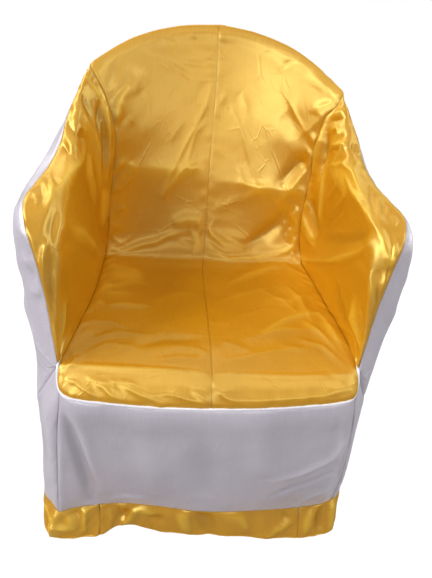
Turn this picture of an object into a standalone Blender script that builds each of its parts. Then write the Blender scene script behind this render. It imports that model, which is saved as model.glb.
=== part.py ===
"""Fitted satin cover for a moulded armchair, hanging as if the chair were inside it.

Gold panels line the back, seat and arms. White panels close the outside. A gold band runs
round the hem, and white piping follows the front edge of the seat. X points to the right as seen
from the front, Y to the rear and Z up, in metres.
"""

from collections import namedtuple

import bmesh
import bpy
import numpy as np

COVER = "armchair_cover"

# Driving sizes
CLOTH = 0.0012
SEAM_GAP = 0.0003
FLAT_TRIM = SEAM_GAP / 2 + 0.0002
BENT_TRIM = SEAM_GAP / 2 + 0.0005
FOLDED_TRIM = SEAM_GAP / 2 + 0.0012
PIPING_RADIUS = 0.0023
PIPING_TRIM = PIPING_RADIUS + CLOTH / 2 + SEAM_GAP
FLOOR_GAP = 0.0003
LIP_BEND = 0.016
EDGE_BEND = 0.010
GATHER = 0.12
EDGE_FADE = 0.06

# Cells across and down each panel
SIDE_ROWS = 31
ROLL_ROWS = 3
PANEL_COLUMNS = 12
ARM_COLUMNS = 12
OUTSIDE_ARM_COLUMNS = 9
SKIRT_ROWS = 7
FRONT_COLUMNS = 34
BACK_CELLS = (18, 14)
HEM_ROWS = 3
PIPING_STEPS = 30

GOLD = (0.58, 0.33, 0.055)
WHITE = (0.74, 0.72, 0.80)

# Where the seams start and meet, as stations of the tables below
INNER_SEAM_STARTS = {"left": 0.195, "right": 0.22}
REAR_SEAM_STARTS = 0.20
SEAT_CORNER = 0.91
WAIST_ON_REAR_SEAM = 0.58
SKIRT_ON_CORNER = 0.08
PIPING_ENDS = 1.14
ARM_TIPS = (0.03, 0.90)
OUTSIDE_ARM_TIP = 0.985

# Hem joints and corner seams, as bearings in degrees from the middle of the front
HEM_JOINT = 35
FRONT_SEAM = 50
REAR_SEAM = 133

Point = namedtuple("Point", "at x y z")

# Gold-to-white seam, from the middle of the crest round the shoulder, along the armrest's outer
# edge and down the arm's front to the corner of the seat.
TOP_SEAM = (
    Point(0.00, 0.000, 0.330, 0.806),
    Point(0.06, 0.091, 0.312, 0.797),
    Point(0.12, 0.173, 0.265, 0.778),
    Point(0.17, 0.222, 0.216, 0.755),
    Point(0.20, 0.238, 0.194, 0.744),
    Point(0.23, 0.249, 0.166, 0.735),
    Point(0.27, 0.257, 0.132, 0.722),
    Point(0.32, 0.264, 0.081, 0.699),
    Point(0.37, 0.270, 0.034, 0.668),
    Point(0.42, 0.277, -0.024, 0.652),
    Point(0.48, 0.279, -0.094, 0.654),
    Point(0.54, 0.278, -0.158, 0.655),
    Point(0.58, 0.270, -0.190, 0.640),
    Point(0.64, 0.257, -0.212, 0.594),
    Point(0.72, 0.250, -0.223, 0.542),
    Point(0.84, 0.244, -0.241, 0.471),
    Point(1.00, 0.240, -0.254, 0.427),
)

# Inner edge of the armrest and of the arm's front, where the gold cloth turns over.
ARM_LIP = (
    Point(0.20, 0.241, 0.181, 0.756),
    Point(0.27, 0.246, 0.139, 0.739),
    Point(0.32, 0.243, 0.094, 0.715),
    Point(0.37, 0.240, 0.039, 0.682),
    Point(0.42, 0.237, -0.021, 0.661),
    Point(0.48, 0.231, -0.091, 0.654),
    Point(0.54, 0.223, -0.164, 0.646),
    Point(0.58, 0.222, -0.196, 0.622),
    Point(0.64, 0.229, -0.216, 0.575),
    Point(0.72, 0.235, -0.228, 0.525),
    Point(0.84, 0.239, -0.244, 0.465),
    Point(1.00, 0.2395, -0.253, 0.428),
)

# Outer edge of the armrest and of the arm's front, where the white cloth turns down the side.
ARM_EDGE = {
    "left": (
        Point(0.20, 0.249, 0.200, 0.736),
        Point(0.27, 0.276, 0.138, 0.701),
        Point(0.32, 0.286, 0.086, 0.680),
        Point(0.37, 0.294, 0.036, 0.655),
        Point(0.42, 0.300, -0.022, 0.645),
        Point(0.48, 0.298, -0.094, 0.645),
        Point(0.54, 0.292, -0.163, 0.640),
        Point(0.58, 0.290, -0.186, 0.620),
        Point(0.64, 0.287, -0.198, 0.560),
        Point(0.72, 0.284, -0.210, 0.490),
        Point(0.84, 0.266, -0.241, 0.435),
        Point(1.00, 0.240, -0.254, 0.427),
    ),
    "right": (
        Point(0.20, 0.243, 0.200, 0.737),
        Point(0.27, 0.266, 0.138, 0.712),
        Point(0.32, 0.274, 0.086, 0.688),
        Point(0.37, 0.281, 0.036, 0.657),
        Point(0.42, 0.289, -0.022, 0.640),
        Point(0.48, 0.291, -0.094, 0.641),
        Point(0.54, 0.291, -0.163, 0.640),
        Point(0.58, 0.291, -0.186, 0.620),
        Point(0.64, 0.290, -0.199, 0.560),
        Point(0.72, 0.286, -0.212, 0.490),
        Point(0.84, 0.262, -0.243, 0.435),
        Point(1.00, 0.240, -0.254, 0.427),
    ),
}

# Half-way down the outside of the arm.
ARM_SIDE = (
    Point(0.20, 0.254, 0.230, 0.560),
    Point(0.32, 0.283, 0.110, 0.510),
    Point(0.42, 0.289, 0.000, 0.500),
    Point(0.54, 0.288, -0.140, 0.490),
    Point(0.64, 0.287, -0.195, 0.450),
    Point(0.72, 0.284, -0.218, 0.420),
    Point(0.84, 0.266, -0.247, 0.405),
    Point(1.00, 0.240, -0.254, 0.427),
)

# Seam between the outside of the arm and the side of the skirt, from the rear corner to the
# corner of the seat. Its front end slopes up.
WAIST = {
    "left": (
        Point(0.00, 0.267, 0.255, 0.345),
        Point(0.20, 0.281, 0.160, 0.344),
        Point(0.40, 0.289, 0.050, 0.343),
        Point(0.60, 0.291, -0.080, 0.343),
        Point(0.75, 0.291, -0.175, 0.344),
        Point(0.85, 0.289, -0.225, 0.347),
        Point(0.90, 0.283, -0.249, 0.354),
        Point(0.95, 0.264, -0.256, 0.388),
        Point(1.00, 0.2435, -0.2555, 0.4265),
    ),
    "right": (
        Point(0.00, 0.267, 0.255, 0.345),
        Point(0.20, 0.281, 0.160, 0.344),
        Point(0.40, 0.289, 0.050, 0.343),
        Point(0.60, 0.291, -0.080, 0.343),
        Point(0.75, 0.290, -0.175, 0.344),
        Point(0.85, 0.283, -0.225, 0.347),
        Point(0.90, 0.273, -0.247, 0.354),
        Point(0.95, 0.256, -0.2545, 0.388),
        Point(1.00, 0.2435, -0.2555, 0.4265),
    ),
}

# Rows round each side: stations of one seam, and the stations across from them on the next. The
# first table gives the top seam's as a share of its length from the shoulder, and the last gives
# bearings on the hem.
Match = namedtuple("Match", "near far")
INNER_TO_TOP = (
    Match(0.00, 0.00),
    Match(0.14, 0.08),
    Match(0.30, 0.14),
    Match(0.48, 0.21),
    Match(0.58, 0.28),
    Match(0.70, 0.38),
    Match(0.79, 0.47),
    Match(0.85, 0.58),
    Match(0.89, 0.80),
    Match(SEAT_CORNER, 1.00),
)
TOP_TO_WAIST = (
    Match(0.20, 0.00),
    Match(0.32, 0.28),
    Match(0.42, 0.50),
    Match(0.54, 0.72),
    Match(0.64, 0.84),
    Match(0.72, 0.90),
    Match(0.84, 0.95),
    Match(1.00, 1.00),
)
WAIST_TO_HEM = (
    Match(0.00, REAR_SEAM),
    Match(0.28, 112),
    Match(0.50, 97),
    Match(0.72, 80),
    Match(0.84, 70),
    Match(0.90, 63),
    Match(0.95, 57),
    Match(1.00, FRONT_SEAM),
)

# Seam up the front corner of the skirt, from the corner of the seat to the hem band.
FRONT_CORNER = (
    Point(0.00, 0.2435, -0.2555, 0.4265),
    Point(0.08, 0.2395, -0.2820, 0.4015),
    Point(0.30, 0.247, -0.292, 0.320),
    Point(0.60, 0.262, -0.298, 0.200),
)

# Seam down the rear corner, from the crest to the hem band.
REAR_CORNER = (
    Point(0.25, 0.251, 0.226, 0.580),
    Point(0.50, 0.264, 0.250, 0.400),
    Point(0.58, 0.267, 0.255, 0.345),
    Point(0.80, 0.276, 0.261, 0.200),
)

# Middle of the back and seat, from the crest's seam down to the piping.
CENTRE_SEAM = (
    Point(0.00, 0.000, 0.330, 0.806),
    Point(0.04, 0.003, 0.329, 0.822),
    Point(0.07, 0.005, 0.311, 0.831),
    Point(0.10, 0.005, 0.296, 0.822),
    Point(0.14, 0.006, 0.287, 0.798),
    Point(0.22, 0.006, 0.259, 0.716),
    Point(0.30, 0.003, 0.228, 0.630),
    Point(0.38, 0.001, 0.195, 0.545),
    Point(0.44, 0.000, 0.165, 0.470),
    Point(0.48, -0.002, 0.138, 0.415),
    Point(0.50, -0.003, 0.120, 0.394),
    Point(0.53, -0.005, 0.092, 0.385),
    Point(0.60, -0.005, 0.030, 0.387),
    Point(0.70, -0.003, -0.060, 0.399),
    Point(0.80, -0.001, -0.150, 0.415),
    Point(0.86, 0.000, -0.215, 0.421),
    Point(0.90, 0.000, -0.258, 0.421),
    Point(0.94, 0.000, -0.284, 0.413),
    Point(0.97, 0.000, -0.298, 0.400),
    Point(1.00, 0.000, -0.3018, 0.3903),
)

# How each row of the inside panel leaves the middle: 1 is straight, 2 a plain bow, more squarer.
PANEL_POWER = (
    Point(0.00, 1, 2.3, 2.3),
    Point(0.12, 1, 2.3, 2.3),
    Point(0.30, 1, 2.0, 2.0),
    Point(0.45, 1, 2.2, 2.2),
    Point(0.55, 1, 2.5, 2.5),
    Point(0.75, 1, 2.2, 2.2),
    Point(0.90, 1, 7.0, 7.0),
    Point(1.00, 1, 9.0, 9.0),
)

# Seam between the back or seat and the arm. The two sides were pulled on unevenly.
INNER_SEAM = {
    "left": (
        Point(0.04, 0.2385, 0.192, 0.760),
        Point(0.07, 0.235, 0.184, 0.765),
        Point(0.10, 0.229, 0.177, 0.755),
        Point(0.14, 0.221, 0.172, 0.740),
        Point(0.18, 0.208, 0.167, 0.715),
        Point(0.22, 0.198, 0.160, 0.685),
        Point(0.27, 0.192, 0.150, 0.640),
        Point(0.32, 0.197, 0.141, 0.595),
        Point(0.38, 0.206, 0.131, 0.535),
        Point(0.44, 0.215, 0.120, 0.465),
    ),
    "right": (
        Point(0.04, 0.248, 0.168, 0.749),
        Point(0.07, 0.246, 0.160, 0.752),
        Point(0.10, 0.241, 0.154, 0.742),
        Point(0.14, 0.234, 0.153, 0.727),
        Point(0.18, 0.219, 0.156, 0.706),
        Point(0.22, 0.214, 0.155, 0.682),
        Point(0.27, 0.209, 0.150, 0.640),
        Point(0.32, 0.212, 0.141, 0.593),
        Point(0.38, 0.209, 0.130, 0.535),
        Point(0.44, 0.211, 0.120, 0.460),
    ),
}
SEAT_SIDE = {
    "left": (
        Point(0.48, 0.220, 0.112, 0.418),
        Point(0.50, 0.223, 0.104, 0.401),
        Point(0.53, 0.223, 0.080, 0.398),
        Point(0.60, 0.221, 0.020, 0.403),
        Point(0.70, 0.220, -0.075, 0.418),
        Point(0.80, 0.226, -0.165, 0.431),
        Point(0.86, 0.232, -0.215, 0.432),
        Point(0.91, 0.2375, -0.252, 0.429),
        Point(0.95, 0.2365, -0.267, 0.4165),
        Point(1.00, 0.2325, -0.2775, 0.404),
    ),
    "right": (
        Point(0.48, 0.217, 0.108, 0.420),
        Point(0.50, 0.222, 0.094, 0.402),
        Point(0.53, 0.227, 0.070, 0.398),
        Point(0.60, 0.233, 0.010, 0.402),
        Point(0.70, 0.238, -0.075, 0.411),
        Point(0.80, 0.241, -0.165, 0.424),
        Point(0.86, 0.2405, -0.212, 0.429),
        Point(0.91, 0.2375, -0.252, 0.429),
        Point(0.95, 0.2365, -0.267, 0.4165),
        Point(1.00, 0.2325, -0.2775, 0.404),
    ),
}

# Front edge of the seat, from the middle to the corner and up to the arm.
SEAT_EDGE = (
    Point(0.00, 0.000, -0.303, 0.387),
    Point(0.30, 0.080, -0.302, 0.388),
    Point(0.60, 0.159, -0.298, 0.392),
    Point(0.80, 0.205, -0.295, 0.396),
    Point(0.92, 0.226, -0.290, 0.399),
    Point(1.00, 0.236, -0.279, 0.402),
    Point(1.08, 0.2400, -0.266, 0.414),
    Point(1.14, 0.2400, -0.256, 0.426),
)

# Front edge of the inside panels, just over the piping.
PANEL_FRONT = (
    Point(0.00, 0.000, -0.3018, 0.3903),
    Point(0.34, 0.080, -0.3008, 0.3913),
    Point(0.68, 0.158, -0.2968, 0.3953),
    Point(0.88, 0.204, -0.2932, 0.3990),
    Point(0.96, 0.224, -0.2868, 0.4020),
    Point(1.00, 0.2325, -0.2775, 0.4040),
)

# Top edge of the front skirt, just under the piping.
SKIRT_TOP = (
    Point(0.00, 0.000, -0.3048, 0.3836),
    Point(0.30, 0.080, -0.3038, 0.3846),
    Point(0.60, 0.160, -0.2998, 0.3886),
    Point(0.80, 0.206, -0.2968, 0.3926),
    Point(0.92, 0.228, -0.2925, 0.3956),
    Point(1.00, 0.2395, -0.2820, 0.4015),
)

# Hem band: its seam to the skirt and its free edge, by bearing round the cover in degrees from
# the middle of the front. The rear half is even; the front was left uneven by the wearer.
Hem = namedtuple("Hem", "bearing seam_x seam_y seam_z edge_x edge_y edge_z")
HEM_FRONT = (
    Hem(-90, -0.312, -0.066, 0.064, -0.325, -0.066, 0.000),
    Hem(-72, -0.316, -0.240, 0.070, -0.331, -0.238, 0.000),
    Hem(-62, -0.308, -0.276, 0.070, -0.320, -0.290, 0.000),
    Hem(-55, -0.292, -0.292, 0.072, -0.306, -0.315, 0.000),
    Hem(-50, -0.277, -0.306, 0.064, -0.289, -0.327, 0.000),
    Hem(-45, -0.255, -0.300, 0.062, -0.262, -0.332, 0.000),
    Hem(-35, -0.200, -0.292, 0.062, -0.200, -0.324, 0.000),
    Hem(-27, -0.150, -0.290, 0.062, -0.150, -0.308, 0.012),
    Hem(-20, -0.100, -0.295, 0.062, -0.100, -0.315, 0.002),
    Hem(0, 0.000, -0.308, 0.062, 0.000, -0.327, 0.000),
    Hem(20, 0.100, -0.308, 0.062, 0.107, -0.334, 0.000),
    Hem(35, 0.205, -0.301, 0.062, 0.206, -0.336, 0.000),
    Hem(45, 0.256, -0.293, 0.062, 0.262, -0.329, 0.000),
    Hem(50, 0.277, -0.285, 0.062, 0.284, -0.318, 0.000),
    Hem(55, 0.292, -0.275, 0.062, 0.299, -0.300, 0.000),
    Hem(62, 0.305, -0.250, 0.062, 0.309, -0.268, 0.000),
    Hem(72, 0.3145, -0.205, 0.062, 0.321, -0.215, 0.000),
    Hem(90, 0.311, -0.066, 0.062, 0.3235, -0.066, 0.000),
)
HEM_REAR = (
    Hem(110, 0.302, 0.084, 0.062, 0.313, 0.094, 0.000),
    Hem(125, 0.294, 0.204, 0.062, 0.304, 0.214, 0.000),
    Hem(133, 0.283, 0.264, 0.062, 0.292, 0.279, 0.000),
    Hem(142, 0.256, 0.302, 0.062, 0.262, 0.317, 0.000),
    Hem(150, 0.205, 0.320, 0.062, 0.210, 0.331, 0.000),
    Hem(165, 0.100, 0.328, 0.062, 0.100, 0.337, 0.000),
)
HEM_BACK = Hem(180, 0.0, 0.328, 0.062, 0.0, 0.336, 0.000)


# Main folds of each panel: each runs along a path of (u, v) points on its sheet. A height below
# 0 is a valley.
Fold = namedtuple("Fold", "width height path")
FOLDS = {
    "inside_panel_left": (
        Fold(0.015, 0.004, ((0.98, 0.49), (0.7, 0.48), (0.44, 0.47), (0.11, 0.46))),
        Fold(0.017, 0.003, ((1, 0.34), (0.64, 0.35), (0.15, 0.36))),
        Fold(0.015, 0.004, ((0.27, 0.29), (0.38, 0.35), (0.48, 0.4))),
        Fold(0.015, -0.003, ((0.12, 0.25), (0.27, 0.33), (0.4, 0.4))),
        Fold(0.017, -0.0036, ((0.59, 0.15), (0.47, 0.17), (0.3, 0.2))),
        Fold(0.021, 0.004, ((0.91, 0.19), (0.9, 0.26), (0.93, 0.33))),
        Fold(0.025, -0.0036, ((0.65, 0.2), (0.77, 0.24), (0.92, 0.28))),
        Fold(0.023, 0.0036, ((1, 0.61), (0.58, 0.57))),
        Fold(0.027, 0.003, ((0.87, 0.72), (0.5, 0.72))),
        Fold(0.015, 0.0036, ((0.11, 0.44), (0.04, 0.49), (0.07, 0.52))),
        Fold(0.015, -0.003, ((0.76, 0.94), (0.57, 0.96))),
        Fold(0.015, -0.003, ((0.4, 0.94), (0.15, 0.96))),
    ),
    "inside_panel_right": (
        Fold(0.015, 0.0045, ((0.04, 0.49), (0.25, 0.51), (0.54, 0.5))),
        Fold(0.015, 0.0045, ((0.54, 0.5), (0.85, 0.48), (1, 0.46))),
        Fold(0.017, 0.0036, ((0.22, 0.47), (0.48, 0.47))),
        Fold(0.015, -0.0036, ((0.05, 0.38), (0.34, 0.38), (0.96, 0.36))),
        Fold(0.023, 0.004, ((0.32, 0.63), (0.79, 0.53))),
        Fold(0.015, 0.003, ((0.42, 0.8), (0.87, 0.75))),
        Fold(0.027, 0.0035, ((0.67, 0.19), (0.88, 0.23), (0.9, 0.31))),
        Fold(0.021, -0.003, ((0.42, 0.17), (0.77, 0.17))),
        Fold(0.015, 0.0036, ((0.72, 0.4), (0.96, 0.4))),
        Fold(0.015, -0.003, ((0.18, 0.94), (0.02, 0.97))),
    ),
    "inside_arm_left": (
        Fold(0.017, 0.005, ((0.29, 0.19), (0.35, 0.34), (0.45, 0.54), (0.62, 0.72))),
        Fold(0.015, -0.004, ((0.17, 0.23), (0.19, 0.34), (0.24, 0.45))),
        Fold(0.015, 0.004, ((0.11, 0.32), (0.17, 0.44), (0.16, 0.57))),
        Fold(0.015, 0.004, ((0.8, 0.68), (0.74, 0.77), (0.68, 0.82))),
        Fold(0.017, 0.004, ((0.42, 0.78), (0.33, 0.66))),
        Fold(0.015, 0.0036, ((0.9, 0.76), (0.8, 0.72))),
        Fold(0.015, 0.0036, ((0.43, 0.85), (0, 0.89))),
        Fold(0.015, -0.0036, ((0.57, 0.46), (0.68, 0.59))),
    ),
    "inside_arm_right": (
        Fold(0.015, 0.005, ((0, 0.16), (0.13, 0.25), (0.06, 0.34))),
        Fold(0.015, -0.004, ((0.24, 0.2), (0.2, 0.31), (0.15, 0.35))),
        Fold(0.015, 0.004, ((0.51, 0.4), (0.32, 0.35))),
        Fold(0.021, 0.004, ((0.42, 0.43), (0.31, 0.57))),
        Fold(0.015, 0.004, ((0.04, 0.5), (0.24, 0.67), (0.57, 0.77))),
        Fold(0.015, 0.004, ((0.55, 0.54), (0.53, 0.65), (0.64, 0.75), (0.72, 0.81))),
        Fold(0.015, 0.0036, ((0.89, 0.82), (0.96, 0.85))),
        Fold(0.015, 0.0036, ((0.31, 0.82), (0.56, 0.89))),
        Fold(0.017, -0.0036, ((0.07, 0.43), (0.23, 0.54))),
    ),
    "outside_arm_left": (
        Fold(0.015, 0.004, ((0.08, 0.48), (0.08, 0.53), (0.08, 0.6))),
        Fold(0.015, 0.004, ((0.15, 0.62), (0.21, 0.71), (0.17, 0.84))),
    ),
    "front_skirt": (
        Fold(0.027, -0.006, ((0.05, 0.16), (0.09, 0.4), (0.12, 0.84))),
        Fold(0.03, 0.0036, ((0.17, 0.27), (0.19, 0.79))),
        Fold(0.017, 0.005, ((0.95, 0.28), (0.91, 0.41), (0.81, 0.53), (0.75, 0.58))),
        Fold(0.015, 0.004, ((0.95, 0.47), (0.95, 0.74), (0.95, 0.98))),
        Fold(0.015, -0.004, ((0.91, 0.53), (0.85, 0.62), (0.76, 0.75))),
        Fold(0.057, -0.0036, ((0.47, 0.04), (0.51, 0.81))),
    ),
    "side_skirt_left": (
        Fold(0.015, 0.0036, ((0.97, 0.09), (0.97, 0.38), (0.96, 0.87))),
        Fold(0.03, -0.006, ((0.91, 0.24), (0.92, 0.67))),
    ),
    "hem_band_front": (
        Fold(0.015, 0.006, ((-27.7, 1), (-24.8, 0.36), (-22.5, 0.12))),
        Fold(0.015, -0.0036, ((-20.1, 0.28), (-14.9, 0.53))),
        Fold(0.023, -0.003, ((2, 0.02), (3.8, 0.89))),
        Fold(0.015, 0.0036, ((25.7, 0.95), (33, 0.43))),
    ),
    "hem_band_round": (
        Fold(0.015, 0.0036, ((320, 0.07), (320, 0.92))),
        Fold(0.015, 0.005, ((309.3, 0.05), (309.3, 0.53), (308.1, 1))),
        Fold(0.015, 0.004, ((299.6, 0.22), (309.3, 0.53))),
        Fold(0.015, 0.004, ((309.3, 0.53), (314.1, 0.62))),
        Fold(0.015, 0.004, ((50.7, 0), (49.5, 0.96))),
        Fold(0.015, -0.0036, ((44.7, 0), (43.5, 0.89))),
        Fold(0.015, 0.0036, ((39.8, 0.08), (37.4, 0.88))),
    ),
}


def smooth(points):
    """A curve through the points, as a function of their first column."""
    table = np.array(points, dtype=float)
    stations, places = table[:, 0], table[:, 1:]
    slopes = np.gradient(places, stations, axis=0)

    def at(where):
        where = np.clip(where, stations[0], stations[-1])
        k = np.clip(np.searchsorted(stations, where, side="right") - 1, 0, len(stations) - 2)
        step = np.expand_dims(stations[k + 1] - stations[k], -1)
        s = np.expand_dims(where - stations[k], -1) / step
        start = (1 + 2 * s) * (1 - s) ** 2 * places[k] + s * (1 - s) ** 2 * step * slopes[k]
        end = s**2 * (3 - 2 * s) * places[k + 1] + s**2 * (s - 1) * step * slopes[k + 1]
        return start + end

    return at


def mirrored(curve, hand):
    """The curve on one side of the cover: hand is -1 for the left and 1 for the right."""
    return lambda where: curve(where) * np.array((hand, 1, 1))


def both_sides(curve):
    """The curve on the right for stations above 0, and its mirror image below 0."""

    def at(where):
        points = curve(np.abs(where))
        points[..., 0] *= np.sign(where)
        return points

    return at


def stretch(curve, start, end):
    """Part of a curve, as a function that runs from 0 to 1."""
    return lambda share: curve(start + (end - start) * share)


def matched(table):
    """Stations of one curve as a function of another's, smoothly through the table's pairs."""
    pairs = smooth(table)
    return lambda where: pairs(where)[..., 0]


def fade(share, reach):
    """Falls smoothly from 1 at a share of 0 to 0 at the reach."""
    s = np.clip(share / reach, 0, 1)
    return 1 - s * s * (3 - 2 * s)


def between(top, bottom, start, end):
    """A sheet spanned by its four edges: top and bottom run along u, start and end down v."""

    def place(u, v):
        a = np.expand_dims(u, -1)
        rows = (1 - v) * top(u) + v * bottom(u)
        columns = (1 - a) * start(v) + a * end(v)
        first = (1 - a) * top(0.0) + a * top(1.0)
        last = (1 - a) * bottom(0.0) + a * bottom(1.0)
        return rows + columns - (1 - v) * first - v * last

    return place


def bowed(middle, side, power):
    """A sheet from a middle seam to a side seam. It leaves the middle level, by the power's rule."""

    def place(u, v):
        a = np.expand_dims(u, -1)
        return middle(v) + (side(v) - middle(v)) * a ** power(v)

    return place


def soft(distance, half):
    """Rises from 0 to the distance itself, round a corner at 0 that is rounded over the half."""
    near = (np.clip(distance, -half, half) + half) ** 2 / (4 * half)
    return np.where(distance > half, distance, near)


def draped(guides, shares, bend):
    """A sheet over guide curves that run down v. It turns over each inner guide by the bend."""

    def place(u, v):
        corners = np.array([guide(v) for guide in guides])
        steps = np.diff(corners, axis=0)
        lengths = np.linalg.norm(steps, axis=1)
        ends = np.concatenate(([0], np.cumsum(lengths)))
        halves = np.minimum(bend, 0.45 * np.minimum(lengths[:-1], lengths[1:]))
        stops, marks = [0.0], [0.0]
        for k, half in enumerate(halves, start=1):
            stops += [shares[k] - GATHER, shares[k], shares[k] + GATHER]
            marks += [ends[k] - half, ends[k], ends[k] + half]
        along = np.interp(u, stops + [1.0], marks + [ends[-1]])
        points = corners[0] + along[:, None] * steps[0] / lengths[0]
        for k, half in enumerate(halves, start=1):
            turn = steps[k] / lengths[k] - steps[k - 1] / lengths[k - 1]
            points = points + soft(along - ends[k], half)[:, None] * turn
        return points

    return place


def pinned(place, top=None, bottom=None, start=None, end=None, reach=0.15):
    """The sheet with some of its edges moved onto seams. The move fades out inside the reach."""

    def moved(u, v):
        points = place(u, v)
        if top:
            points = points + fade(v, reach) * (top(u) - place(u, 0.0))
        if bottom:
            points = points + fade(1 - v, reach) * (bottom(u) - place(u, 1.0))
        if start:
            first = start(v) - place(np.zeros(1), v)
            points = points + fade(u, reach)[:, None] * first
        if end:
            last = end(v) - place(np.ones(1), v)
            points = points + fade(1 - u, reach)[:, None] * last
        return points

    return moved


def fold_heights(points, place, folds):
    """How far the folds stand off the sheet at each point of its grid."""
    heights = np.zeros(points.shape[:2])
    for fold in folds:
        path = [place(np.array([u]), v)[0] for u, v in fold.path]
        nearest = np.full(points.shape[:2], np.inf)
        for start, end in zip(path[:-1], path[1:]):
            run = end - start
            share = np.clip((points - start) @ run / (run @ run), 0, 1)
            away = np.linalg.norm(points - start - share[..., None] * run, axis=-1)
            nearest = np.minimum(nearest, away)
        heights += fold.height * np.exp(-((nearest / fold.width) ** 2))
    return heights


def edge_fades(u, v, sewn):
    """A factor for each grid point that falls to 0 at the sewn edges: top, bottom, start, end."""
    across = (u - u[0]) / (u[-1] - u[0])
    down = (v - v[0]) / (v[-1] - v[0])
    factor = np.ones((len(v), len(u)))
    factor *= ((1 - sewn[0] * fade(down, EDGE_FADE)) * (1 - sewn[1] * fade(1 - down, EDGE_FADE)))[:, None]
    factor *= (1 - sewn[2] * fade(across, EDGE_FADE)) * (1 - sewn[3] * fade(1 - across, EDGE_FADE))
    return factor


def trim_edges(points, trims):
    """Draws the edges back from their seams, in the order top, bottom, start and end."""
    grids = (points, points[::-1], points.swapaxes(0, 1), points.swapaxes(0, 1)[::-1])
    for grid, trim in zip(grids, trims):
        step = grid[1] - grid[0]
        length = np.linalg.norm(step, axis=-1, keepdims=True)
        grid[0] += step * np.minimum(trim / length, 0.6)


def material(name, colour, roughness, metallic=0.0):
    """A Principled material."""
    made = bpy.data.materials.new(name)
    made.use_nodes = True
    shader = made.node_tree.nodes["Principled BSDF"]
    shader.inputs["Base Color"].default_value = (*colour, 1)
    shader.inputs["Roughness"].default_value = roughness
    shader.inputs["Metallic"].default_value = metallic
    return made


def sheet(name, place, u, v, facing, trims, finish, collection, sewn=(1, 1, 1, 1)):
    """A panel of cloth: a grid laid on its surface, folded, trimmed at the seams and thickened.

    Folds stand off the side that v crossed with u points to, or off the other where facing is -1.
    """
    columns, rows = len(u) - 1, len(v) - 1
    points = np.array([place(u, row) for row in v])
    across, down = np.gradient(points, axis=1), np.gradient(points, axis=0)
    normals = np.cross(down, across)
    normals /= np.linalg.norm(normals, axis=-1, keepdims=True)
    heights = fold_heights(points, place, FOLDS.get(name, ())) * edge_fades(u, v, sewn)
    points += facing * normals * heights[..., None]
    points[..., 2] = np.maximum(points[..., 2], FLOOR_GAP)
    trim_edges(points, trims)
    bm = bmesh.new()
    bmesh.ops.create_grid(bm, x_segments=columns, y_segments=rows, size=1)
    bm.verts.ensure_lookup_table()
    for vertex, point in zip(bm.verts, points.reshape(-1, 3)):
        vertex.co = point
    mesh = bpy.data.meshes.new(name)
    bm.to_mesh(mesh)
    bm.free()
    panel = bpy.data.objects.new(name, mesh)
    collection.objects.link(panel)
    mesh.materials.append(finish)
    solidify = panel.modifiers.new("cloth", "SOLIDIFY")
    solidify.thickness = CLOTH
    solidify.offset = 0
    return panel


def tube(name, points, radius, finish, collection):
    """A round cord through the points, with closed ends."""
    curve = bpy.data.curves.new(name, "CURVE")
    curve.dimensions = "3D"
    curve.bevel_depth = radius
    curve.bevel_resolution = 2
    curve.use_fill_caps = True
    line = curve.splines.new("POLY")
    line.points.add(len(points) - 1)
    for knot, point in zip(line.points, points):
        knot.co = (*point, 1)
    cord = bpy.data.objects.new(name, curve)
    collection.objects.link(cord)
    curve.materials.append(finish)
    return cord


def hem_lines():
    """The hem band's seam and its free edge, by bearing."""
    rear = [Hem(-row.bearing, -row.seam_x, *row[2:4], -row.edge_x, *row[5:]) for row in HEM_REAR]
    rows = [HEM_BACK._replace(bearing=-180), *rear[::-1], *HEM_FRONT, *HEM_REAR, HEM_BACK]
    lines = []
    for first in (1, 4):
        ring = smooth([(row.bearing, *row[first : first + 3]) for row in rows])
        lines.append(lambda bearing, ring=ring: ring((np.asarray(bearing) + 180) % 360 - 180))
    return lines


def side_seams(side, hand, hem_seam):
    """The seam curves on one side of the cover, by name."""
    top = smooth(TOP_SEAM)
    shoulder = INNER_SEAM_STARTS[side]
    flip = np.array((hand, 1, 1))
    crest = (0.0, *top(shoulder))
    rear_top = (0.0, *top(REAR_SEAM_STARTS))
    rear_foot = (1.0, *(hem_seam(hand * REAR_SEAM) * flip))
    front_foot = (1.0, *(hem_seam(hand * FRONT_SEAM) * flip))
    curves = {
        "top": top,
        "lip": smooth(ARM_LIP),
        "edge": smooth(ARM_EDGE[side]),
        "side": smooth(ARM_SIDE),
        "waist": smooth(WAIST[side]),
        "inner": smooth([crest, *INNER_SEAM[side], *SEAT_SIDE[side]]),
        "rear": smooth([rear_top, *REAR_CORNER, rear_foot]),
        "front": smooth([*FRONT_CORNER, front_foot]),
    }
    return {name: mirrored(curve, hand) for name, curve in curves.items()}


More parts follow.
